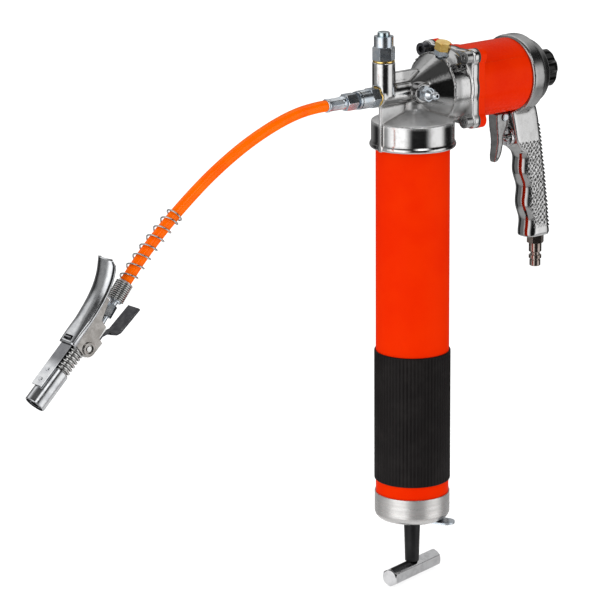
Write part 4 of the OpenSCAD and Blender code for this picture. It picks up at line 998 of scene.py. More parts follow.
def tube(path: Sequence[Vector], refs: Sequence[Vector], radius: float, sides: int) -> Skin:
    """Sweeps a round section along a path.

    Args:
        path: Centre line.
        refs: Direction that each ring starts from.
        radius: Radius of the section.
        sides: Points in each ring.

    Returns:
        Points and faces of the tube, with small domes for ends.
    """
    dome_r, dome_h = radius * 0.6, radius * 0.35
    last = len(path) - 1
    rings = []
    for i, (centre, ref) in enumerate(zip(path, refs)):
        along = (path[min(i + 1, last)] - path[max(i - 1, 0)]).normalized()
        side = (ref - along * ref.dot(along)).normalized()
        across = along.cross(side)
        ring = [side * math.cos(a) + across * math.sin(a) for a in angles(sides)]
        if i == 0:
            rings.append([centre - along * dome_h + r * dome_r for r in ring])
        rings.append([centre + r * radius for r in ring])
        if i == last:
            rings.append([centre + along * dome_h + r * dome_r for r in ring])
    return skin(rings)


def revolved(profile: Sequence[tuple[float, float]], steps: int, place: Matrix) -> Skin:
    """Turns a closed outline round the axis of a place.

    Args:
        profile: Radius and height of each point, going round the section.
        steps: Count of turns of the section.
        place: Where the axis stands.

    Returns:
        Points and faces of the ring.
    """
    rings = [
        [place @ Vector((r * math.cos(a), r * math.sin(a), z)) for r, z in profile] for a in angles(steps)
    ]
    return skin(rings, looped=True)


def stand(start: Vector, along: Vector) -> Matrix:
    """Returns the place whose z axis runs along a direction from a point."""
    return Matrix.Translation(start) @ along.to_track_quat("Z", "Y").to_matrix().to_4x4()


def settle(piece: bpy.types.Object) -> None:
    """Turns a new piece's modifiers into its mesh.

    Args:
        piece: Piece with modifiers.
    """
    bpy.context.view_layer.update()
    depsgraph = bpy.context.evaluated_depsgraph_get()
    result = bpy.data.meshes.new_from_object(piece.evaluated_get(depsgraph))
    piece.modifiers.clear()
    piece.data = result


def regrid(piece: bpy.types.Object, voxel: float, passes: int = 0) -> None:
    """Gives a piece an even mesh, and rubs its edges round.

    Args:
        piece: Closed piece.
        voxel: Size of its new faces.
        passes: Rounds of smoothing.
    """
    grid = piece.modifiers.new("grid", "REMESH")
    grid.mode = "VOXEL"
    grid.voxel_size = voxel
    if passes:
        rub = piece.modifiers.new("rub", "SMOOTH")
        rub.factor = 0.5
        rub.iterations = passes
    settle(piece)


def soften(
    name: str, body: str, voxel: float, passes: int, reshape: Callable[[bpy.types.Mesh], None] | None = None
) -> bpy.types.Object:
    """Copies a CAD node with fillets on all its edges.

    Args:
        name: CAD node that the copy replaces.
        body: CAD body that it moves with.
        voxel: Size of the copy's faces.
        passes: Rounds of smoothing, which set the fillets' radius.
        reshape: Change made to the even mesh before the smoothing.

    Returns:
        The softened copy.
    """
    shape = bmesh.new()
    shape.from_mesh(node(name).data)
    bmesh.ops.remove_doubles(shape, verts=shape.verts, dist=WELD)
    mesh = bpy.data.meshes.new(f"{name}_soft")
    shape.to_mesh(mesh)
    shape.free()
    copy = new_object(f"{name}_soft", mesh)
    if reshape is not None:
        regrid(copy, voxel)
        reshape(copy.data)
    regrid(copy, voxel, passes)
    shade_smooth(copy.data)
    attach(copy, body)
    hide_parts(name)
    log.info("%s softened to %d faces", name, len(copy.data.polygons))
    return copy


@dataclass
class CoilSpring:
    """A wound wire spring, with closed ends, that stands for a CAD spring."""

    name: str
    start: Vector
    along: Vector
    length: float
    radius: float
    wire: float
    turns: float
    closed: float = 1.0
    steps: int = 28
    sides: int = 12
    dead_pitch: float = 1.04

    @classmethod
    def in_box(cls, name: str, along: Triple, wire: float, turns: float, **rest: float) -> "CoilSpring":
        """Measures a spring from its CAD node.

        Args:
            name: CAD node of the spring.
            along: Direction of its axis, UP or FORWARD.
            wire: Thickness of the wire.
            turns: Count of its turns.
            rest: Closed turns at each end, and steps and sides of the mesh.

        Returns:
            Spring that fills the node's box.
        """
        low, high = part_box(name)
        axis = Vector(along)
        length = axis.dot(high - low)
        start = (low + high - axis * length) / 2.0
        return cls(name, start, axis, length, (high.y - low.y - wire) / 2.0, wire, turns, **rest)

    def climb(self, turn: float) -> float:
        """Returns how far along the axis the wire is after some turns.

        Args:
            turn: Turns since the wire's start.

        Returns:
            Distance along the axis, in metres.
        """
        pitch = self.wire * self.dead_pitch
        if turn < self.closed:
            return pitch * turn
        if turn > self.turns - self.closed:
            return self.length - self.wire - pitch * (self.turns - turn)
        share = (turn - self.closed) / (self.turns - 2.0 * self.closed)
        return mix(pitch * self.closed, self.length - self.wire - pitch * self.closed, share)

    def build(self) -> bpy.types.Object:
        """Winds the spring.

        Returns:
            The spring, riding on the gun, in place of its CAD node.
        """
        place = stand(self.start, self.along)
        turning = place.to_3x3()
        path, refs = [], []
        count = int(self.turns * self.steps)
        for i in range(count + 1):
            turn = self.turns * i / count
            angle = 2.0 * math.pi * turn
            out = Vector((math.cos(angle), math.sin(angle), 0.0))
            path.append(place @ (out * self.radius + Vector((0.0, 0.0, self.wire / 2.0 + self.climb(turn)))))
            refs.append(turning @ out)
        spring = piece_of(f"{self.name}_wire", "gun", tube(path, refs, self.wire / 2.0, self.sides))
        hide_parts(self.name)
        SPRING.dress(spring)
        return spring

    def press(self, joint: str, travel: float, towards_end: bool = False) -> bpy.types.Object:
        """Winds the spring and gives it a mesh of its own.

        Args:
            joint: Joint that would press it. Not used.
            travel: The joint's travel, in metres. Not used.
            towards_end: Whether the far end is the one that stays.

        Returns:
            The spring.
        """
        spring = self.build()
        anchor = self.start + self.along.normalized() * (self.length if towards_end else 0.0)
        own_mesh(spring)
        return spring


# Assemblies


@dataclass
class Barrel:
    """Painted barrel with its fluted rubber sleeve, end cap, rod and T-handle."""

    # Rubber sleeve: its flutes, and the arc of its rolled ends as heights in rolls and shares of the wall
    flutes: int = 60
    per_flute: int = 10
    flute_depth: float = 0.00055
    flute_power: float = 0.6
    flute_fade: float = 0.0014
    roll: float = 0.0007
    roll_arc: tuple[tuple[float, float], ...] = (
        (0.0, 0.35), (0.1, 0.7), (0.35, 0.92), (1.0, 1.0), (1.6, 1.0),
    )
    middle_spans: int = 8
    middle_gap: float = 0.002
    tube_gap: float = 0.00003
    # Follower spring
    main_wire: float = 0.0018
    main_turns: float = 20.0
    follower_travel: float = 0.23

    def sleeve_rows(self, low: float, high: float) -> list[tuple[float, float]]:
        """Returns the sleeve's rows from its foot to its top, as heights and shares of its wall.

        Args:
            low: Height of the foot.
            high: Height of the top.

        Returns:
            Height and share of each row.
        """
        foot = [(low + self.roll * h, share) for h, share in self.roll_arc]
        head = [(high - self.roll * h, share) for h, share in reversed(self.roll_arc)]
        start, end = low + self.middle_gap, high - self.middle_gap
        middle = [(mix(start, end, k / self.middle_spans), 1.0) for k in range(self.middle_spans + 1)]
        return foot + middle + head

    def build_sleeve(self) -> bpy.types.Object:
        """Moulds the rubber sleeve, with round flutes and rolled ends.

        Returns:
            The sleeve, in place of its CAD node.
        """
        low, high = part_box("barrel_sleeve")
        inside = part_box("barrel_tube")[1].x + self.tube_gap
        turns = angles(self.flutes * self.per_flute)
        rings = []
        for z, share in self.sleeve_rows(low.z, high.z):
            depth = self.flute_depth * smooth(min(z - low.z, high.z - z) / self.flute_fade)
            ring = []
            for a in turns:
                wave = abs(math.sin(self.flutes * a / 2.0)) ** self.flute_power
                radius = inside + (high.x - inside) * share - depth * (1.0 - wave)
                ring.append(Vector((radius * math.cos(a), radius * math.sin(a), z)))
            rings.append(ring)
        for z in (high.z, low.z):
            rings.append([Vector((inside * math.cos(a), inside * math.sin(a), z)) for a in turns])
        sleeve = piece_of("sleeve_rubber", "gun", skin(rings, looped=True))
        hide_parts("barrel_sleeve")
        return sleeve

    def build(self) -> None:
        """Makes and dresses the barrel's pieces."""
        FLUTED.dress(self.build_sleeve())
        spring = CoilSpring.in_box("main_spring", UP, self.main_wire, self.main_turns, steps=20, sides=8)
        spring.press("follower_slide", self.follower_travel)
        ORANGE.dress(node("barrel_tube"))
        CAP.dress(node("end_cap"), node("rod_gland"))
        SEAL.dress(node("barrel_gasket"), node("follower_cup"))
        ZINC.dress(node("lock_plate"), node("lock_rivet"), node("rod_nut"), node("follower_plate"))
        SPRING.dress(node("follower_rod"))
        SHANK.dress(node("rod_shank"))
        TEE.dress(node("tee_handle"))


@dataclass
class Head:
    """Cast head with its outlet, relief valve, nipple and bleeder."""

    # Casting: its even mesh, and the bore of the pump plunger
    voxel: float = 0.0006
    passes: int = 12
    plunger_stroke: float = 0.022
    bore_gap: float = 0.0003
    # Relief and check springs
    relief_wire: float = 0.0008
    check_wire: float = 0.0007
    spring_turns: float = 4.5
    button_travel: float = 0.0022
    ball_travel: float = 0.002

    def ream(self, casting: bpy.types.Object) -> None:
        """Opens the softened casting's bore again, round the pump plunger's whole way.

        Args:
            casting: Softened copy of the head casting.
        """
        low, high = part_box("pump_plunger")
        radius = (high.y - low.y) / 2.0 + self.bore_gap
        for vert in casting.data.vertices:
            out = Vector((0.0, vert.co.y, vert.co.z - AXIS_H))
            if low.x - self.plunger_stroke < vert.co.x < high.x and 0.0 < out.length < radius:
                vert.co += out * (radius / out.length - 1.0)

    def build(self) -> None:
        """Makes and dresses the head's pieces."""
        casting = soften("head_casting", "gun", self.voxel, self.passes)
        self.ream(casting)
        HEAD.dress(casting)
        BRASS.dress(
            node("outlet_washer"), node("relief_washer"), node("bleeder_plug"), node("plunger_gland")
        )
        ZINC.dress(node("outlet_adapter"), node("relief_body"), node("grease_nipple"), node("bleeder_seat"))
        BLUE_ZINC.dress(node("relief_button"))
        SPRING.dress(node("check_ball"))
        relief = CoilSpring.in_box("relief_spring", UP, self.relief_wire, self.spring_turns, closed=0.5)
        relief.press("relief_press", self.button_travel)
        check = CoilSpring.in_box("check_spring", FORWARD, self.check_wire, self.spring_turns, closed=0.5)
        check.press("check_lift", self.ball_travel)


@dataclass
class Motor:
    """Painted air cylinder with its piston, screws and regulator stem."""

    motor_wire: float = 0.002
    motor_turns: float = 8.0
    stroke: float = 0.022

    def brighten_near_screw(self, screws: bpy.types.Object) -> None:
        """Gives the near screw of the pair a lighter plating than the dark far one.

        Args:
            screws: CAD node of both upper screws.
        """
        screws.data.materials.append(SCREW.material())
        for face in screws.data.polygons:
            if face.center.y < 0.0:
                face.material_index = len(screws.data.materials) - 1

    def build(self) -> None:
        """Makes and dresses the motor's pieces."""
        RED.dress(node("motor_cylinder"))
        SEAL.dress(node("piston_seal"), node("cap_seal"))
        FIBRE.dress(node("motor_gasket"))
        DARK_STEEL.dress(node("upper_screws"))
        self.brighten_near_screw(node("upper_screws"))
        SCREW.dress(node("lower_screws"))
        HEAD.dress(node("air_piston"))
        SPRING.dress(node("pump_plunger"), node("regulator_stem"))
        spring = CoilSpring.in_box("motor_spring", FORWARD, self.motor_wire, self.motor_turns)
        spring.press("piston_stroke", self.stroke)


@dataclass
class Grip:
    """Cast handle with its rear cap, star knob, trigger, air valve and air plug."""

    voxel: float = 0.0007
    passes: int = 14
    # Teeth of the back
    tooth_pitch: float = 0.0033
    tooth_depth: float = 0.0017
    tooth_level: float = 0.55
    teeth_top: float = 0.003
    teeth_foot: float = -0.083
    back_x: float = 0.11
    back_lean: tuple[float, float] = (0.15, 0.45)
    # Stipple of the flanks
    flank_lean: tuple[float, float] = (0.8, 0.95)
    flank_fade: float = 0.002
    pebble_depth: float = 0.0006
    stud_w: float = 0.0041
    stud_h: float = 0.0048
    stray_scale: float = 260.0
    stray: float = 0.28
    # Front, rolled round from flank to flank
    half_w: float = 0.01
    ridge: float = 0.4
    round_depth: float = 0.0085
    round_top: float = -0.016
    round_fade: float = 0.005
    row_h: float = 0.001
    row_reach: int = 3
    row_slack: float = 0.6
    # Boss behind the rear cap, and the star knob on it
    boss_l: float = 0.009
    boss_foot: float = 0.015
    boss_share: float = 0.3
    knob_grow: float = 1.1
    knob_voxel: float = 0.0005
    knob_passes: int = 3
    # Trigger and air valve
    trigger_voxel: float = 0.0005
    trigger_passes: int = 34
    valve_wire: float = 0.0007
    valve_turns: float = 4.5
    valve_travel: float = 0.0038
    # Pin in the handle's side, its dome as shares of its radius across and up
    side_pin: Triple = (0.1025, -0.0088, -0.0070)
    side_pin_r: float = 0.0015
    side_pin_l: float = 0.004
    pin_sides: int = 24
    pin_dome: tuple[tuple[float, float], ...] = ((1.0, 0.0), (0.93, 0.3), (0.6, 0.55))
    pin_top: float = 0.68
    pin_core: float = 0.0001

    def front_line(self, mesh: bpy.types.Mesh) -> Callable[[float], tuple[float, float]]:
        """Reads the line of the handle's front, as it is and smoothed.

        Args:
            mesh: Even mesh of the grip housing.

        Returns:
            Function from a height to the front's place there, before and after the smoothing.
        """
        rows: dict[int, float] = {}
        for vert in mesh.vertices:
            if abs(vert.co.y) < self.half_w * self.ridge:
                row = round(vert.co.z / self.row_h)
                rows[row] = min(rows.get(row, 1.0), vert.co.x)

        def at(z: float) -> tuple[float, float]:
            """Returns the front's place at a height, before and after the smoothing.

            Args:
                z: Height of the row.

            Returns:
                The front as it is and smoothed.
            """
            row = round(z / self.row_h)
            near = [rows[k] for k in range(row - self.row_reach, row + self.row_reach + 1) if k in rows]
            return rows.get(row, near[0]), sum(near) / len(near)

        return at

    def round_front(self, mesh: bpy.types.Mesh) -> None:
        """Rolls the front of the handle round, from flank to flank.

        Args:
            mesh: Even mesh of the grip housing.
        """
        line = self.front_line(mesh)
        for vert in mesh.vertices:
            share = ramp(vert.co.z, self.round_top, self.round_top - self.round_fade)
            if share > 0.0:
                across = min(abs(vert.co.y) / self.half_w, 1.0)
                front, even = line(vert.co.z)
                rolled = even + self.round_depth * (1.0 - math.sqrt(1.0 - across * across))
                if vert.co.x < max(front, rolled) + self.row_h * self.row_slack:
                    vert.co.x = mix(vert.co.x, rolled, share)

    def reshape(self, mesh: bpy.types.Mesh) -> None:
        """Rounds the handle's front and flattens the boss behind the rear cap.

        Args:
            mesh: Even mesh of the grip housing.
        """
        self.round_front(mesh)
        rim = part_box("grip_housing")[1].x - self.boss_l
        for vert in mesh.vertices:
            if vert.co.x > rim and vert.co.z > self.boss_foot:
                vert.co.x = rim + (vert.co.x - rim) * self.boss_share

    def build_knob(self) -> bpy.types.Object:
        """Moulds the star knob, which reaches up to the flattened boss.

        Returns:
            The knob, in place of its CAD node.
        """
        low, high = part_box("star_knob")
        stretch = 1.0 + self.boss_l * (1.0 - self.boss_share) / (high.x - low.x)
        grown = Matrix.Diagonal((stretch, self.knob_grow, self.knob_grow, 1.0))
        tip = Matrix.Translation((high.x, 0.0, AXIS_H))

        def grow(mesh: bpy.types.Mesh) -> None:
            """Grows the knob about the end of its axis."""
            mesh.transform(tip @ grown @ tip.inverted())

        return soften("star_knob", "regulator", self.knob_voxel, self.knob_passes, grow)

    def on_back(self, at: Vector, normal: Vector) -> float:
        """Returns how much a point belongs to the serrated back."""
        inside = self.teeth_foot < at.z < self.teeth_top and at.x > self.back_x
        return ramp(normal.x, *self.back_lean) if inside else 0.0

    def on_flank(self, at: Vector, normal: Vector) -> float:
        """Returns how much a point belongs to a stippled flank.

        Args:
            at: The point.
            normal: The surface's normal there.

        Returns:
            Share from 0 to 1.
        """
        if not STIPPLE_FOOT < at.z < STIPPLE_TOP:
            return 0.0
        foot = ramp(at.z, STIPPLE_FOOT, STIPPLE_FOOT + self.flank_fade)
        top = ramp(at.z, STIPPLE_TOP, STIPPLE_TOP - self.flank_fade)
        return ramp(abs(normal.y), *self.flank_lean) * foot * top

    def pebble(self, at: Vector) -> float:
        """Returns the height of the stipple, uneven studs in staggered rows, from -0.5 to 0.5.

        Args:
            at: Point on the flank.

        Returns:
            Height, as a share of the stipple's depth.
        """
        spot = at * self.stray_scale
        across = at.x / self.stud_w + noise.noise(spot) * self.stray
        up = at.z / self.stud_h + noise.noise(spot + Vector(FORWARD)) * self.stray
        return (math.cos(2.0 * math.pi * (across + up)) + math.cos(2.0 * math.pi * (across - up))) / 4.0

    def carve(self, casting: bpy.types.Object) -> None:
        """Cuts the back's teeth and the flanks' stipple into the casting.

        Args:
            casting: Softened copy of the grip housing.
        """
        shape = bmesh.new()
        shape.from_mesh(casting.data)
        shape.normal_update()
        carved = set()
        for face in shape.faces:
            at = face.calc_center_median()
            if at.z < self.teeth_top and (self.on_back(at, face.normal) or self.on_flank(at, face.normal)):
                carved.add(face.index)
        fine = [edge for edge in shape.edges if any(face.index in carved for face in edge.link_faces)]
        bmesh.ops.subdivide_edges(shape, edges=fine, cuts=1, use_grid_fill=True)
        shape.normal_update()
        moves = []
        for vert in shape.verts:
            at, normal = vert.co, vert.normal
            back, flank = self.on_back(at, normal), self.on_flank(at, normal)
            if back > 0.0:
                phase = (at.z / self.tooth_pitch) % 1.0
                moves.append((vert, normal * (self.tooth_depth * back * (self.tooth_level - phase))))
            elif flank > 0.0:
                moves.append((vert, normal * (self.pebble_depth * flank * self.pebble(at))))
        for vert, move in moves:
            vert.co += move
        shape.to_mesh(casting.data)
        shape.free()
        shade_smooth(casting.data)

    def build_side_pin(self) -> bpy.types.Object:
        """Sets the small domed pin in the handle's side, behind the air valve.

        Returns:
            The pin, riding on the gun.
        """
        r, core = self.side_pin_r, self.pin_core
        dome = [(r * across, r * up) for across, up in self.pin_dome]
        profile = [(core, -self.side_pin_l), (r, -self.side_pin_l), *dome, (core, r * self.pin_top)]
        place = stand(Vector(self.side_pin), -Vector(SIDEWAYS))
        return piece_of("handle_side_pin", "gun", revolved(profile, self.pin_sides, place))

    def build(self) -> None:
        """Makes and dresses the grip's pieces."""
        casting = soften("grip_housing", "gun", self.voxel, self.passes, self.reshape)
        self.carve(casting)
        HANDLE.dress(casting)
        CHROME.dress(self.build_side_pin(), node("valve_bush"))
        TRIGGER.dress(soften("trigger", "trigger", self.trigger_voxel, self.trigger_passes))
        KNOB.dress(self.build_knob())
        ZINC.dress(node("trigger_pin"))
        NICKEL.dress(node("air_plug"))
        SPRING.dress(node("valve_stem"))
        spring = CoilSpring.in_box("valve_spring", FORWARD, self.valve_wire, self.valve_turns, closed=0.5)
        spring.press("valve_push", self.valve_travel, towards_end=True)


@dataclass
class HoseRun:
    """The hose on its own curve, its crimped ferrule and the loose guard spring on its far end."""

    start: Vector = Vector((-0.0867, 0.0, AXIS_H))
    length: float = 0.2198
    radius: float = 0.0043
    sides: int = 28
    per_span: int = 8
    # Points of the route in part.scad, from the start: along x, and down
    drops: tuple[tuple[float, float], ...] = (
        (0.0, 0.0), (-0.010, 0.0002), (-0.023, 0.0014), (-0.036, 0.004), (-0.049, 0.0078), (-0.062, 0.0125),
        (-0.075, 0.018), (-0.088, 0.0244), (-0.101, 0.0316), (-0.113, 0.039), (-0.125, 0.0472),
        (-0.137, 0.056), (-0.149, 0.0654), (-0.160, 0.0747), (-0.170, 0.0838), (-0.179, 0.0928),
        (-0.188, 0.1025),
    )
    # Guard spring
    guard_turns: int = 7
    guard_closed: int = 1
    guard_length: float = 0.062
    guard_wire: float = 0.0013
    guard_ring: float = 0.00595
    guard_dead_pitch: float = 1.35
    guard_steps: int = 30
    guard_sides: int = 12
    guard_sight: float = 0.004
    # Ferrule, pressed to flats between its stations near both ends
    ferrule_r: float = 0.0052
    ferrule_flat: float = 0.00462
    ferrule_length: float = 0.0178
    ferrule_sides: int = 96
    crimp_faces: int = 8
    crimp_fade: float = 0.0012
    crimp_start: float = 0.0028
    crimp_end: float = 0.0022
    crimp_limit: float = 0.985
    rim_l: float = 0.0006
    rim_share: float = 0.07
    stations: tuple[float, ...] = (
        0.0, 0.0003, 0.0006, 0.0014, 0.0026, 0.0031, 0.0036, 0.0041, 0.0065, 0.009, 0.0115,
    )
    last_stations: tuple[float, ...] = (0.0035, 0.003, 0.0026, 0.0021, 0.0012, 0.0006, 0.0003, 0.0)

    def line(self) -> list[Vector]:
        """Returns the smooth centre line through the points that the CAD model's hose follows.

        Returns:
            Points of the line, from the swivel to the far end.
        """
        points = [self.start + Vector((x, 0.0, -drop)) for x, drop in self.drops]
        ends = [points[0] * 2.0 - points[1], *points, points[-1] * 2.0 - points[-2]]
        line = []
        for i in range(1, len(ends) - 2):
            a, b, c, d = ends[i - 1:i + 3]
            for k in range(self.per_span):
                t = k / self.per_span
                line.append(
                    0.5 * (2.0 * b + (c - a) * t + (2.0 * a - 5.0 * b + 4.0 * c - d) * t * t
                           + (3.0 * b - a - 3.0 * c + d) * t ** 3)
                )
        return [*line, points[-1]]

    def build_hose(self) -> bpy.types.Object:
        """Draws the hose along its line.

        Returns:
            The hose, in place of its CAD node.
        """
        line = self.line()
        refs = [Vector(SIDEWAYS)] * len(line)
        hose = piece_of("hose_tube", "gun", tube(line, refs, self.radius, self.sides))
        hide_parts("hose")
        JACKET.dress(hose)
        return hose

    def back_from_end(self, distance: float) -> Vector:
        """Returns the point on the hose's line at a distance before its far end.

        Args:
            distance: Distance before the far end, along the hose.

        Returns:
            The point.
        """
        line = self.line()[::-1]
        left = distance
        for near, far in zip(line, line[1:]):
            step = (far - near).length
            if left <= step:
                return near.lerp(far, left / step)
            left -= step
        return line[-1]

    def guard_climb(self, turn: float) -> float:
        """Returns how far the guard spring's wire is from its end after some turns.

        Args:
            turn: Turns since the wire's start.

        Returns:
            Distance along the hose, in metres.
        """
        open_length = self.guard_length - 2.0 * self.guard_wire
        if turn < self.guard_turns:
            return open_length * turn / self.guard_turns
        return open_length + self.guard_wire * self.guard_dead_pitch * (turn - self.guard_turns)

    def build_guard(self) -> bpy.types.Object:
        """Winds the loose guard spring round the hose.

        Returns:
            The spring, in place of its CAD node.
        """
        turns = self.guard_turns + self.guard_closed
        path, refs = [], []
        for i in range(turns * self.guard_steps + 1):
            turn = i / self.guard_steps
            back = self.guard_climb(turn) + self.guard_wire
            centre = self.back_from_end(back)
            along = (centre - self.back_from_end(back + self.guard_sight)).normalized()
            side = Vector(SIDEWAYS)
            angle = 2.0 * math.pi * turn
            out = side * math.cos(angle) - along.cross(side) * math.sin(angle)
            path.append(centre + out * self.guard_ring)
            refs.append(out)
        wound = tube(path, refs, self.guard_wire / 2.0, self.guard_sides)
        guard = piece_of("guard_spring_wire", "gun", wound)
        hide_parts("guard_spring")
        SPRING.dress(guard)
        return guard

    def ferrule_reach(self, along: float, angle: float) -> float:
        """Returns the ferrule's radius at a place on it.

        Args:
            along: Distance from the swivel nut.
            angle: Angle round the hose.

        Returns:
            Radius there: round at both ends and pressed to flats between them.
        """
        face = 2.0 * math.pi / self.crimp_faces
        turn = (angle % face) - face / 2.0
        pressed = min(self.ferrule_flat / math.cos(turn), self.ferrule_r * self.crimp_limit)
        left = self.ferrule_length - along
        share = ramp(along, self.crimp_start, self.crimp_start + self.crimp_fade)
        share *= ramp(left, self.crimp_end, self.crimp_end + self.crimp_fade)
        edge = self.ferrule_r * self.rim_share * (1.0 - smooth(min(along, left) / self.rim_l))
        return mix(self.ferrule_r, pressed, share) - edge

    def build_ferrule(self) -> bpy.types.Object:
        """Presses the ferrule on the hose.

        Returns:
            The ferrule, in place of its CAD node.
        """
        begin = self.start.x + self.ferrule_length
        stations = [*self.stations, *(self.ferrule_length - left for left in self.last_stations)]
        rings = []
        for s in stations:
            reach = [(self.ferrule_reach(s, a), a) for a in angles(self.ferrule_sides)]
            rings.append([Vector((begin - s, r * math.cos(a), AXIS_H + r * math.sin(a))) for r, a in reach])
        ferrule = piece_of("hose_ferrule_crimped", "gun", skin(rings))
        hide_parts("hose_ferrule")
        return ferrule


@dataclass
class Coupler:
    """Coupler at the hose's far end, in its own frame: x from its mouth to the hose."""

    # The hose's far end, the coupler's slope there, and the tilt of its inlet
    end: Vector = Vector((-0.2747, 0.0, -0.0593))
    slope: float = math.radians(43.0)
    tilt: float = math.radians(7.0)
    inlet_s: float = 0.076
    inlet_t: float = -0.0052
    # Fitting and strain spring
    fitting_l: float = 0.0195
    crimp_r: float = 0.0051
    strain_wire: float = 0.0013
    strain_turns: int = 10
    strain_pitch: float = 0.0015
    # Sleeve and the spring behind it
    sleeve_l: float = 0.030
    block_s: float = 0.049
    spring_wire: float = 0.0016
    spring_r: float = 0.0070
    spring_turns: float = 6.0
    spring_closed: float = 0.6
    draw: float = 0.0034
    end_gap: float = 0.0001
    # Long lever: its place, its line and its section, which is square at the slot and round further up
    lever_s: float = 0.048
    lever_l: float = 0.0636
    lever_low: float = 0.011
    lever_rise: float = 0.005
    lever_sweep: float = 0.0118
    sweep_power: int = 5
    lever_rim: float = 0.0046
    lever_w: float = 0.0165
    lever_end_w: float = 0.0205
    lever_t: float = 0.0014
    lever_spans: int = 40
    arc_spans: int = 24
    shoulder_square: float = 5.0
    shoulder_round: float = 2.3
    square_share: float = 0.35
    tip_share: float = 0.06
    tip_inset: float = 0.0022
    tip_rim: float = 0.5
    sheet_limit: float = 0.6
    # Slot for the strap's hook
    slot_s: float = 0.0524
    slot_l: float = 0.0036
    slot_w: float = 0.009

    def place(self) -> Matrix:
        """Returns the coupler's own frame in the gun's.

        Returns:
            Place of the coupler's frame.
        """
        reach = self.fitting_l + self.strain_pitch * (self.strain_turns + 1)
        inside = Matrix.Translation((
            -self.inlet_s - reach * math.cos(self.tilt), 0.0, -self.inlet_t - reach * math.sin(self.tilt)
        ))
        return Matrix.Translation(self.end) @ Matrix.Rotation(-self.slope, 4, "Y") @ inside

    def build_strain(self) -> bpy.types.Object:
        """Winds the closed strain spring round the fitting.

        Returns:
            The spring, in place of its CAD node.
        """
        place = self.place()
        inlet = place @ Vector((self.inlet_s, 0.0, self.inlet_t))
        along = place.to_3x3() @ Vector((math.cos(self.tilt), 0.0, math.sin(self.tilt)))
        length = self.strain_pitch * (self.strain_turns + 1)
        spring = CoilSpring(
            "strain_spring", inlet + along * (self.fitting_l + 2.0 * self.end_gap), along,
            length - 4.0 * self.end_gap, self.crimp_r + self.strain_wire / 2.0 + self.end_gap,
            self.strain_wire, self.strain_turns, closed=0.0,
        )
        return spring.build()

    def build_return_spring(self) -> bpy.types.Object:
        """Winds the spring that pushes the sleeve back over the jaws.

        Returns:
            The spring, in place of its CAD node.
        """
        place = self.place()
        spring = CoilSpring(
            "coupler_spring", place @ Vector((self.sleeve_l + self.end_gap, 0.0, 0.0)),
            place.to_3x3() @ Vector(FORWARD), self.block_s - self.sleeve_l - 2.0 * self.end_gap,
            self.spring_r, self.spring_wire, self.spring_turns, self.spring_closed,
        )
        return spring.press("sleeve_draw", self.draw, towards_end=True)

    def lever_point(self, share: float, across: float, drop: float) -> Vector:
        """Returns a point on the long lever.

        Args:
            share: Share of the way from its slot to its end.
            across: Distance from its middle line.
            drop: Distance below its top line.

        Returns:
            The point, in the gun's frame.
        """
        along = self.lever_s + self.lever_l * share
        power = self.sweep_power
        top = self.lever_low + self.lever_rise * share + self.lever_sweep * share ** power
        lean = math.atan2(self.lever_rise + power * self.lever_sweep * share ** (power - 1), self.lever_l)
        return self.place() @ Vector((along + drop * math.sin(lean), across, top - drop * math.cos(lean)))

    def lever_ring(self, share: float) -> list[Vector]:
        """Returns the lever's section at a share of its length, a channel with round shoulders.

        Args:
            share: Share of the way from the lever's slot to its end.

        Returns:
            Points of the section, in the gun's frame.
        """
        end = smooth((1.0 - share) / self.tip_share)
        rim = self.lever_rim * mix(self.tip_rim, 1.0, end)
        half = mix(self.lever_w, self.lever_end_w, share) / 2.0 - self.tip_inset * (1.0 - end)
        power = 2.0 / mix(self.shoulder_square, self.shoulder_round, smooth(share / self.square_share))
        outer = [(-half, rim)]
        for k in range(1, self.arc_spans):
            turn = math.pi * (1.0 - k / self.arc_spans)
            across = math.copysign(half * abs(math.cos(turn)) ** power, math.cos(turn))
            outer.append((across, rim * (1.0 - math.sin(turn) ** power)))
        outer.append((half, rim))
        thin = min(self.lever_t, rim * self.sheet_limit)
        inner = [(y * (half - thin) / half, max(z, 0.0) + thin) for y, z in outer[1:-1]]
        inner = [(-half + thin, rim), *inner, (half - thin, rim)]
        return [self.lever_point(share, y, z) for y, z in outer + inner[::-1]]

    def build_lever(self) -> bpy.types.Object:
        """Presses the long lever from sheet, with the slot for the strap's hook.

        Returns:
            The lever, in place of its CAD node.
        """
        rings = [self.lever_ring(k / self.lever_spans) for k in range(self.lever_spans + 1)]
        lever = piece_of("coupler_lever_pressed", "lever", skin(rings))
        slot = bpy.data.meshes.new("slot")
        shape = bmesh.new()
        bmesh.ops.create_cube(shape, size=1.0)
        shape.to_mesh(slot)
        shape.free()
        cutter = new_object("slot", slot)
        cutter.matrix_world = (
            self.place() @ Matrix.Translation((self.slot_s, 0.0, self.lever_low))
            @ Matrix.Diagonal((self.slot_l, self.slot_w, 4.0 * self.lever_rim, 1.0))
        )
        cut = lever.modifiers.new("slot", "BOOLEAN")
        cut.operation = "DIFFERENCE"
        cut.object = cutter
        settle(lever)
        bpy.data.objects.remove(cutter)
        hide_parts("coupler_lever")
        LEVER.dress(lever)
        return lever

    def build(self) -> list[bpy.types.Object]:
        """Makes and dresses the coupler's pieces.

        Returns:
            All the pieces that hang on the hose.
        """
        made = [self.build_strain(), self.build_return_spring(), self.build_lever()]
        place = self.place()
        # The strap gets painted shade over a stretch of its length
        strap = Strap(
            "strap_steel", Slot.CHROME, colour=(0.74, 0.75, 0.76), tint=(0.62, 0.63, 0.65), roughness=0.14,
            swell=0.0001, start=tuple(place @ Vector((self.sleeve_l, 0.0, 0.0))),
            along=tuple(place.to_3x3() @ Vector(FORWARD)),
        )
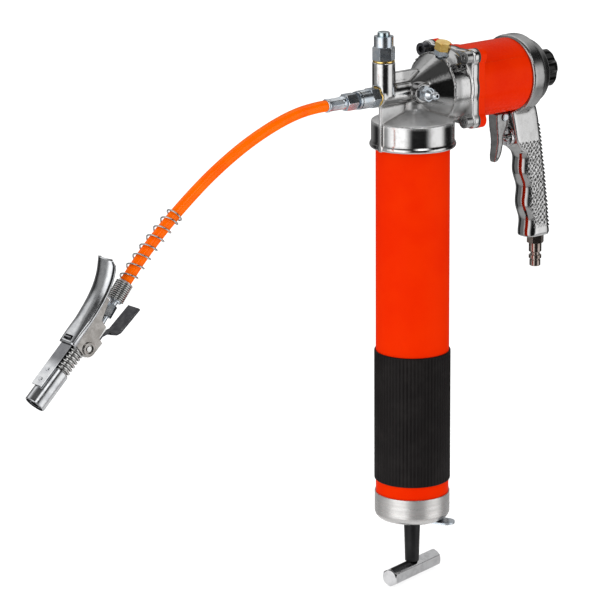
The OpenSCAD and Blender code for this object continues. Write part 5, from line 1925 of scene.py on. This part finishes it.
        # The jaws wear dark steel as painted shade inside the coupler's mouth
        finishes: dict[str, Finish] = {
            "hose_fitting": ZINC, "coupler_sleeve": LEVER, "pull_strap": strap, "coupler_bracket": DULL,
            "finger_rest": DARK_REST, "coupler_body": SPRING, "lever_pin": SPRING, "coupler_jaws": DARK_STEEL,
        }
        for name, finish in finishes.items():
            finish.dress(node(name))
        return [*made, *(node(name) for name in finishes)]


# Studio


@dataclass(frozen=True)
class Panel:
    """One soft light round the object, with soft sides.

    Its sides are angles in degrees from the camera's to the right, each from dark to lit. Its foot and top
    are heights, as sines of the angle over level, each from dark to lit as well.
    """

    level: float
    left: tuple[float, float]
    right: tuple[float, float]
    foot: tuple[float, float]
    top: tuple[float, float]

    def glow(self, angle: Term, height: Term) -> Term:
        """Returns the panel's light.

        Args:
            angle: Angle of the direction that is asked for.
            height: Height of that direction.

        Returns:
            Strength of the light from there.
        """
        sides = angle.rise(*self.left) * angle.rise(*self.right)
        return sides * height.rise(*self.foot) * height.rise(*self.top) * self.level


@dataclass
class Studio:
    """Camera at the photograph's viewpoint, pale floor and soft light from two sides and above."""

    # Fitted to some forty points of the photograph
    place: Vector = Vector((-1.63590, -1.84489, 0.54223))
    forward: Vector = Vector((0.61478, 0.74465, -0.25990))
    right: Vector = Vector((0.76994, -0.63808, -0.00693))
    lens: float = 198.06
    clip: tuple[float, float] = (0.05, 50.0)
    # Floor, more solid near the T-handle, where it catches the shadow
    floor_gap: float = 0.0005
    floor_r: float = 0.62
    floor_sides: int = 96
    floor_full: float = 0.35
    floor_alpha: float = 0.35
    shadow_r: float = 0.075
    shadow_alpha: float = 0.6
    # Even light for all but glossy rays
    tent: float = 0.95
    tent_top: float = 0.12
    tent_side: float = 0.1
    tent_behind: float = 0.35
    tent_depth: tuple[float, float] = (-1.0, 0.1)
    # What glossy rays meet: the least light, the table, the ceiling and the wall behind
    least: float = 0.015
    table: float = 0.45
    table_z: tuple[float, float] = (-0.42, -0.6)
    ceiling_z: tuple[float, float] = (0.66, 0.84)
    ceiling_depth: tuple[float, float] = (-0.05, -0.25)
    ceiling_front: float = 0.1
    behind_side: tuple[float, float] = (118.0, 150.0)
    behind_z: tuple[float, float] = (0.1, 0.6)
    behind_low: float = 0.2
    behind_high: float = 0.65
    # The tall box on the left, the one on the right, and a faint strip past the left one
    walls: tuple[Panel, ...] = (
        Panel(1.35, (-92.0, -55.0), (-2.0, -28.0), (-0.55, -0.42), (0.72, 0.45)),
        Panel(1.0, (32.0, 58.0), (104.0, 78.0), (-0.55, -0.42), (0.5, 0.2)),
        Panel(0.3, (-120.0, -104.0), (-76.0, -92.0), (-0.55, -0.42), (2.0, 1.5)),
    )
    # A high box behind on the left, and the key light high on the right
    high: tuple[Panel, ...] = (
        Panel(0.85, (-160.0, -140.0), (-96.0, -116.0), (0.28, 0.52), (0.92, 0.68)),
        Panel(1.7, (-2.0, 22.0), (58.0, 34.0), (0.44, 0.60), (0.88, 0.72)),
    )

    def set_camera(self) -> None:
        """Stands the camera where the photograph was taken."""
        camera = bpy.data.cameras.new("photo_camera")
        camera.lens = self.lens
        camera.clip_start, camera.clip_end = self.clip
        holder = new_object("photo_camera", camera)
        back = -self.forward.normalized()
        side = self.right.normalized()
        turn = Matrix((side, back.cross(side), back)).transposed()
        holder.matrix_world = Matrix.Translation(self.place) @ turn.to_4x4()
        scene = bpy.context.scene
        scene.camera = holder
        scene.view_settings.view_transform = "Standard"
        scene.view_settings.look = "Medium High Contrast"

    def lay_floor(self) -> None:
        """Lays a pale round floor under the T-handle, fading out at its rim."""
        low = CAD_BOX[0][2] - self.floor_gap
        mesh = bpy.data.meshes.new("floor")
        radius, sides = self.floor_r, self.floor_sides
        points = [(radius * math.cos(a), radius * math.sin(a), low) for a in angles(sides)]
        mesh.from_pydata(points, [], [tuple(range(sides))])
        new_object("floor", mesh)
        material = bpy.data.materials.new("pale_floor")
        material.use_nodes = True
        board = Board(material.node_tree)
        reach = board.length(board.stretch(board.place, (1.0, 1.0, 0.0)))
        wide = reach.rise(radius, radius * self.floor_full) * self.floor_alpha
        near = reach.rise(self.shadow_r * 2.0, self.shadow_r) * self.shadow_alpha
        board.surface(
            Base_Color=grey(0.93), Roughness=0.8, Specular_IOR_Level=0.1,
            Emission_Color=grey(1.0), Emission_Strength=0.3, Alpha=wide.most(near),
        )
        mesh.materials.append(material)

    def glossy_light(self, angle: Term, near: Term, height: Term) -> Term:
        """Returns the light that glossy metal shows: panels, a lit back, the table and the ceiling.

        Args:
            angle: Angle of a direction from the camera's to the right, in degrees.
            near: How far the direction leans to the camera.
            height: Height of the direction.

        Returns:
            Strength of the light from that direction.
        """
        light: Value = self.least
        for panel in self.walls:
            light = panel.glow(angle, height) + light
        lift = height.rise(*self.behind_z) * (self.behind_high - self.behind_low) + self.behind_low
        behind = angle.size().rise(*self.behind_side) * lift
        table = height.rise(*self.table_z) * self.table
        back = near.rise(*self.ceiling_depth) * (1.0 - self.ceiling_front) + self.ceiling_front
        ceiling = height.rise(*self.ceiling_z) * back
        for other in (behind, table, ceiling, *(panel.glow(angle, height) for panel in self.high)):
            light = light.most(other + self.least)
        return light

    def hang_light(self) -> None:
        """Hangs soft lights with dark gaps between them, for gloss, and an even tent for the rest."""
        world = bpy.data.worlds.new("studio")
        bpy.context.scene.world = world
        world.use_nodes = True
        board = Board(world.node_tree)
        way = board.add("ShaderNodeTexCoord", output="Generated")
        side = board.dot(way, self.right)
        near = board.dot(way, -Vector((self.forward.x, self.forward.y, 0.0)).normalized())
        height = board.dot(way, UP)
        angle = side.around(near) * math.degrees(1.0)
        even = self.tent - height * self.tent_top - side * self.tent_side
        tent = even * (near.rise(*self.tent_depth) * (1.0 - self.tent_behind) + self.tent_behind)
        gloss = board.add("ShaderNodeLightPath", output="Is Glossy Ray")
        seen = board.add("ShaderNodeLightPath", output="Is Camera Ray")
        level = tent + gloss * (self.glossy_light(angle, near, height) - tent)
        light = board.add("ShaderNodeBackground", inputs={"Color": grey(1.0), "Strength": level})
        paper = board.add("ShaderNodeBackground", inputs={"Color": grey(1.0), "Strength": 1.0})
        both = board.add("ShaderNodeMixShader", inputs={0: seen, 1: light, 2: paper})
        board.add("ShaderNodeOutputWorld", inputs={"Surface": both})

    def build(self) -> None:
        """Sets up the floor and the light."""
        self.lay_floor()
        self.hang_light()


def main() -> None:
    """Builds the scene in order."""
    logging.basicConfig(level=logging.INFO, format="%(name)s: %(message)s")
    studio = Studio()
    studio.set_camera()
    run = HoseRun()
    hose = run.build_hose()
    guard = run.build_guard()
    ferrule = run.build_ferrule()
    ZINC.dress(ferrule, node("hose_swivel"))
    hung = Coupler().build()
    2.0 * run.radius
    [tuple(p) for p in run.line()]
    Barrel().build()
    Head().build()
    Motor().build()
    Grip().build()
    studio.build()


if __name__ == "__main__":
    main()
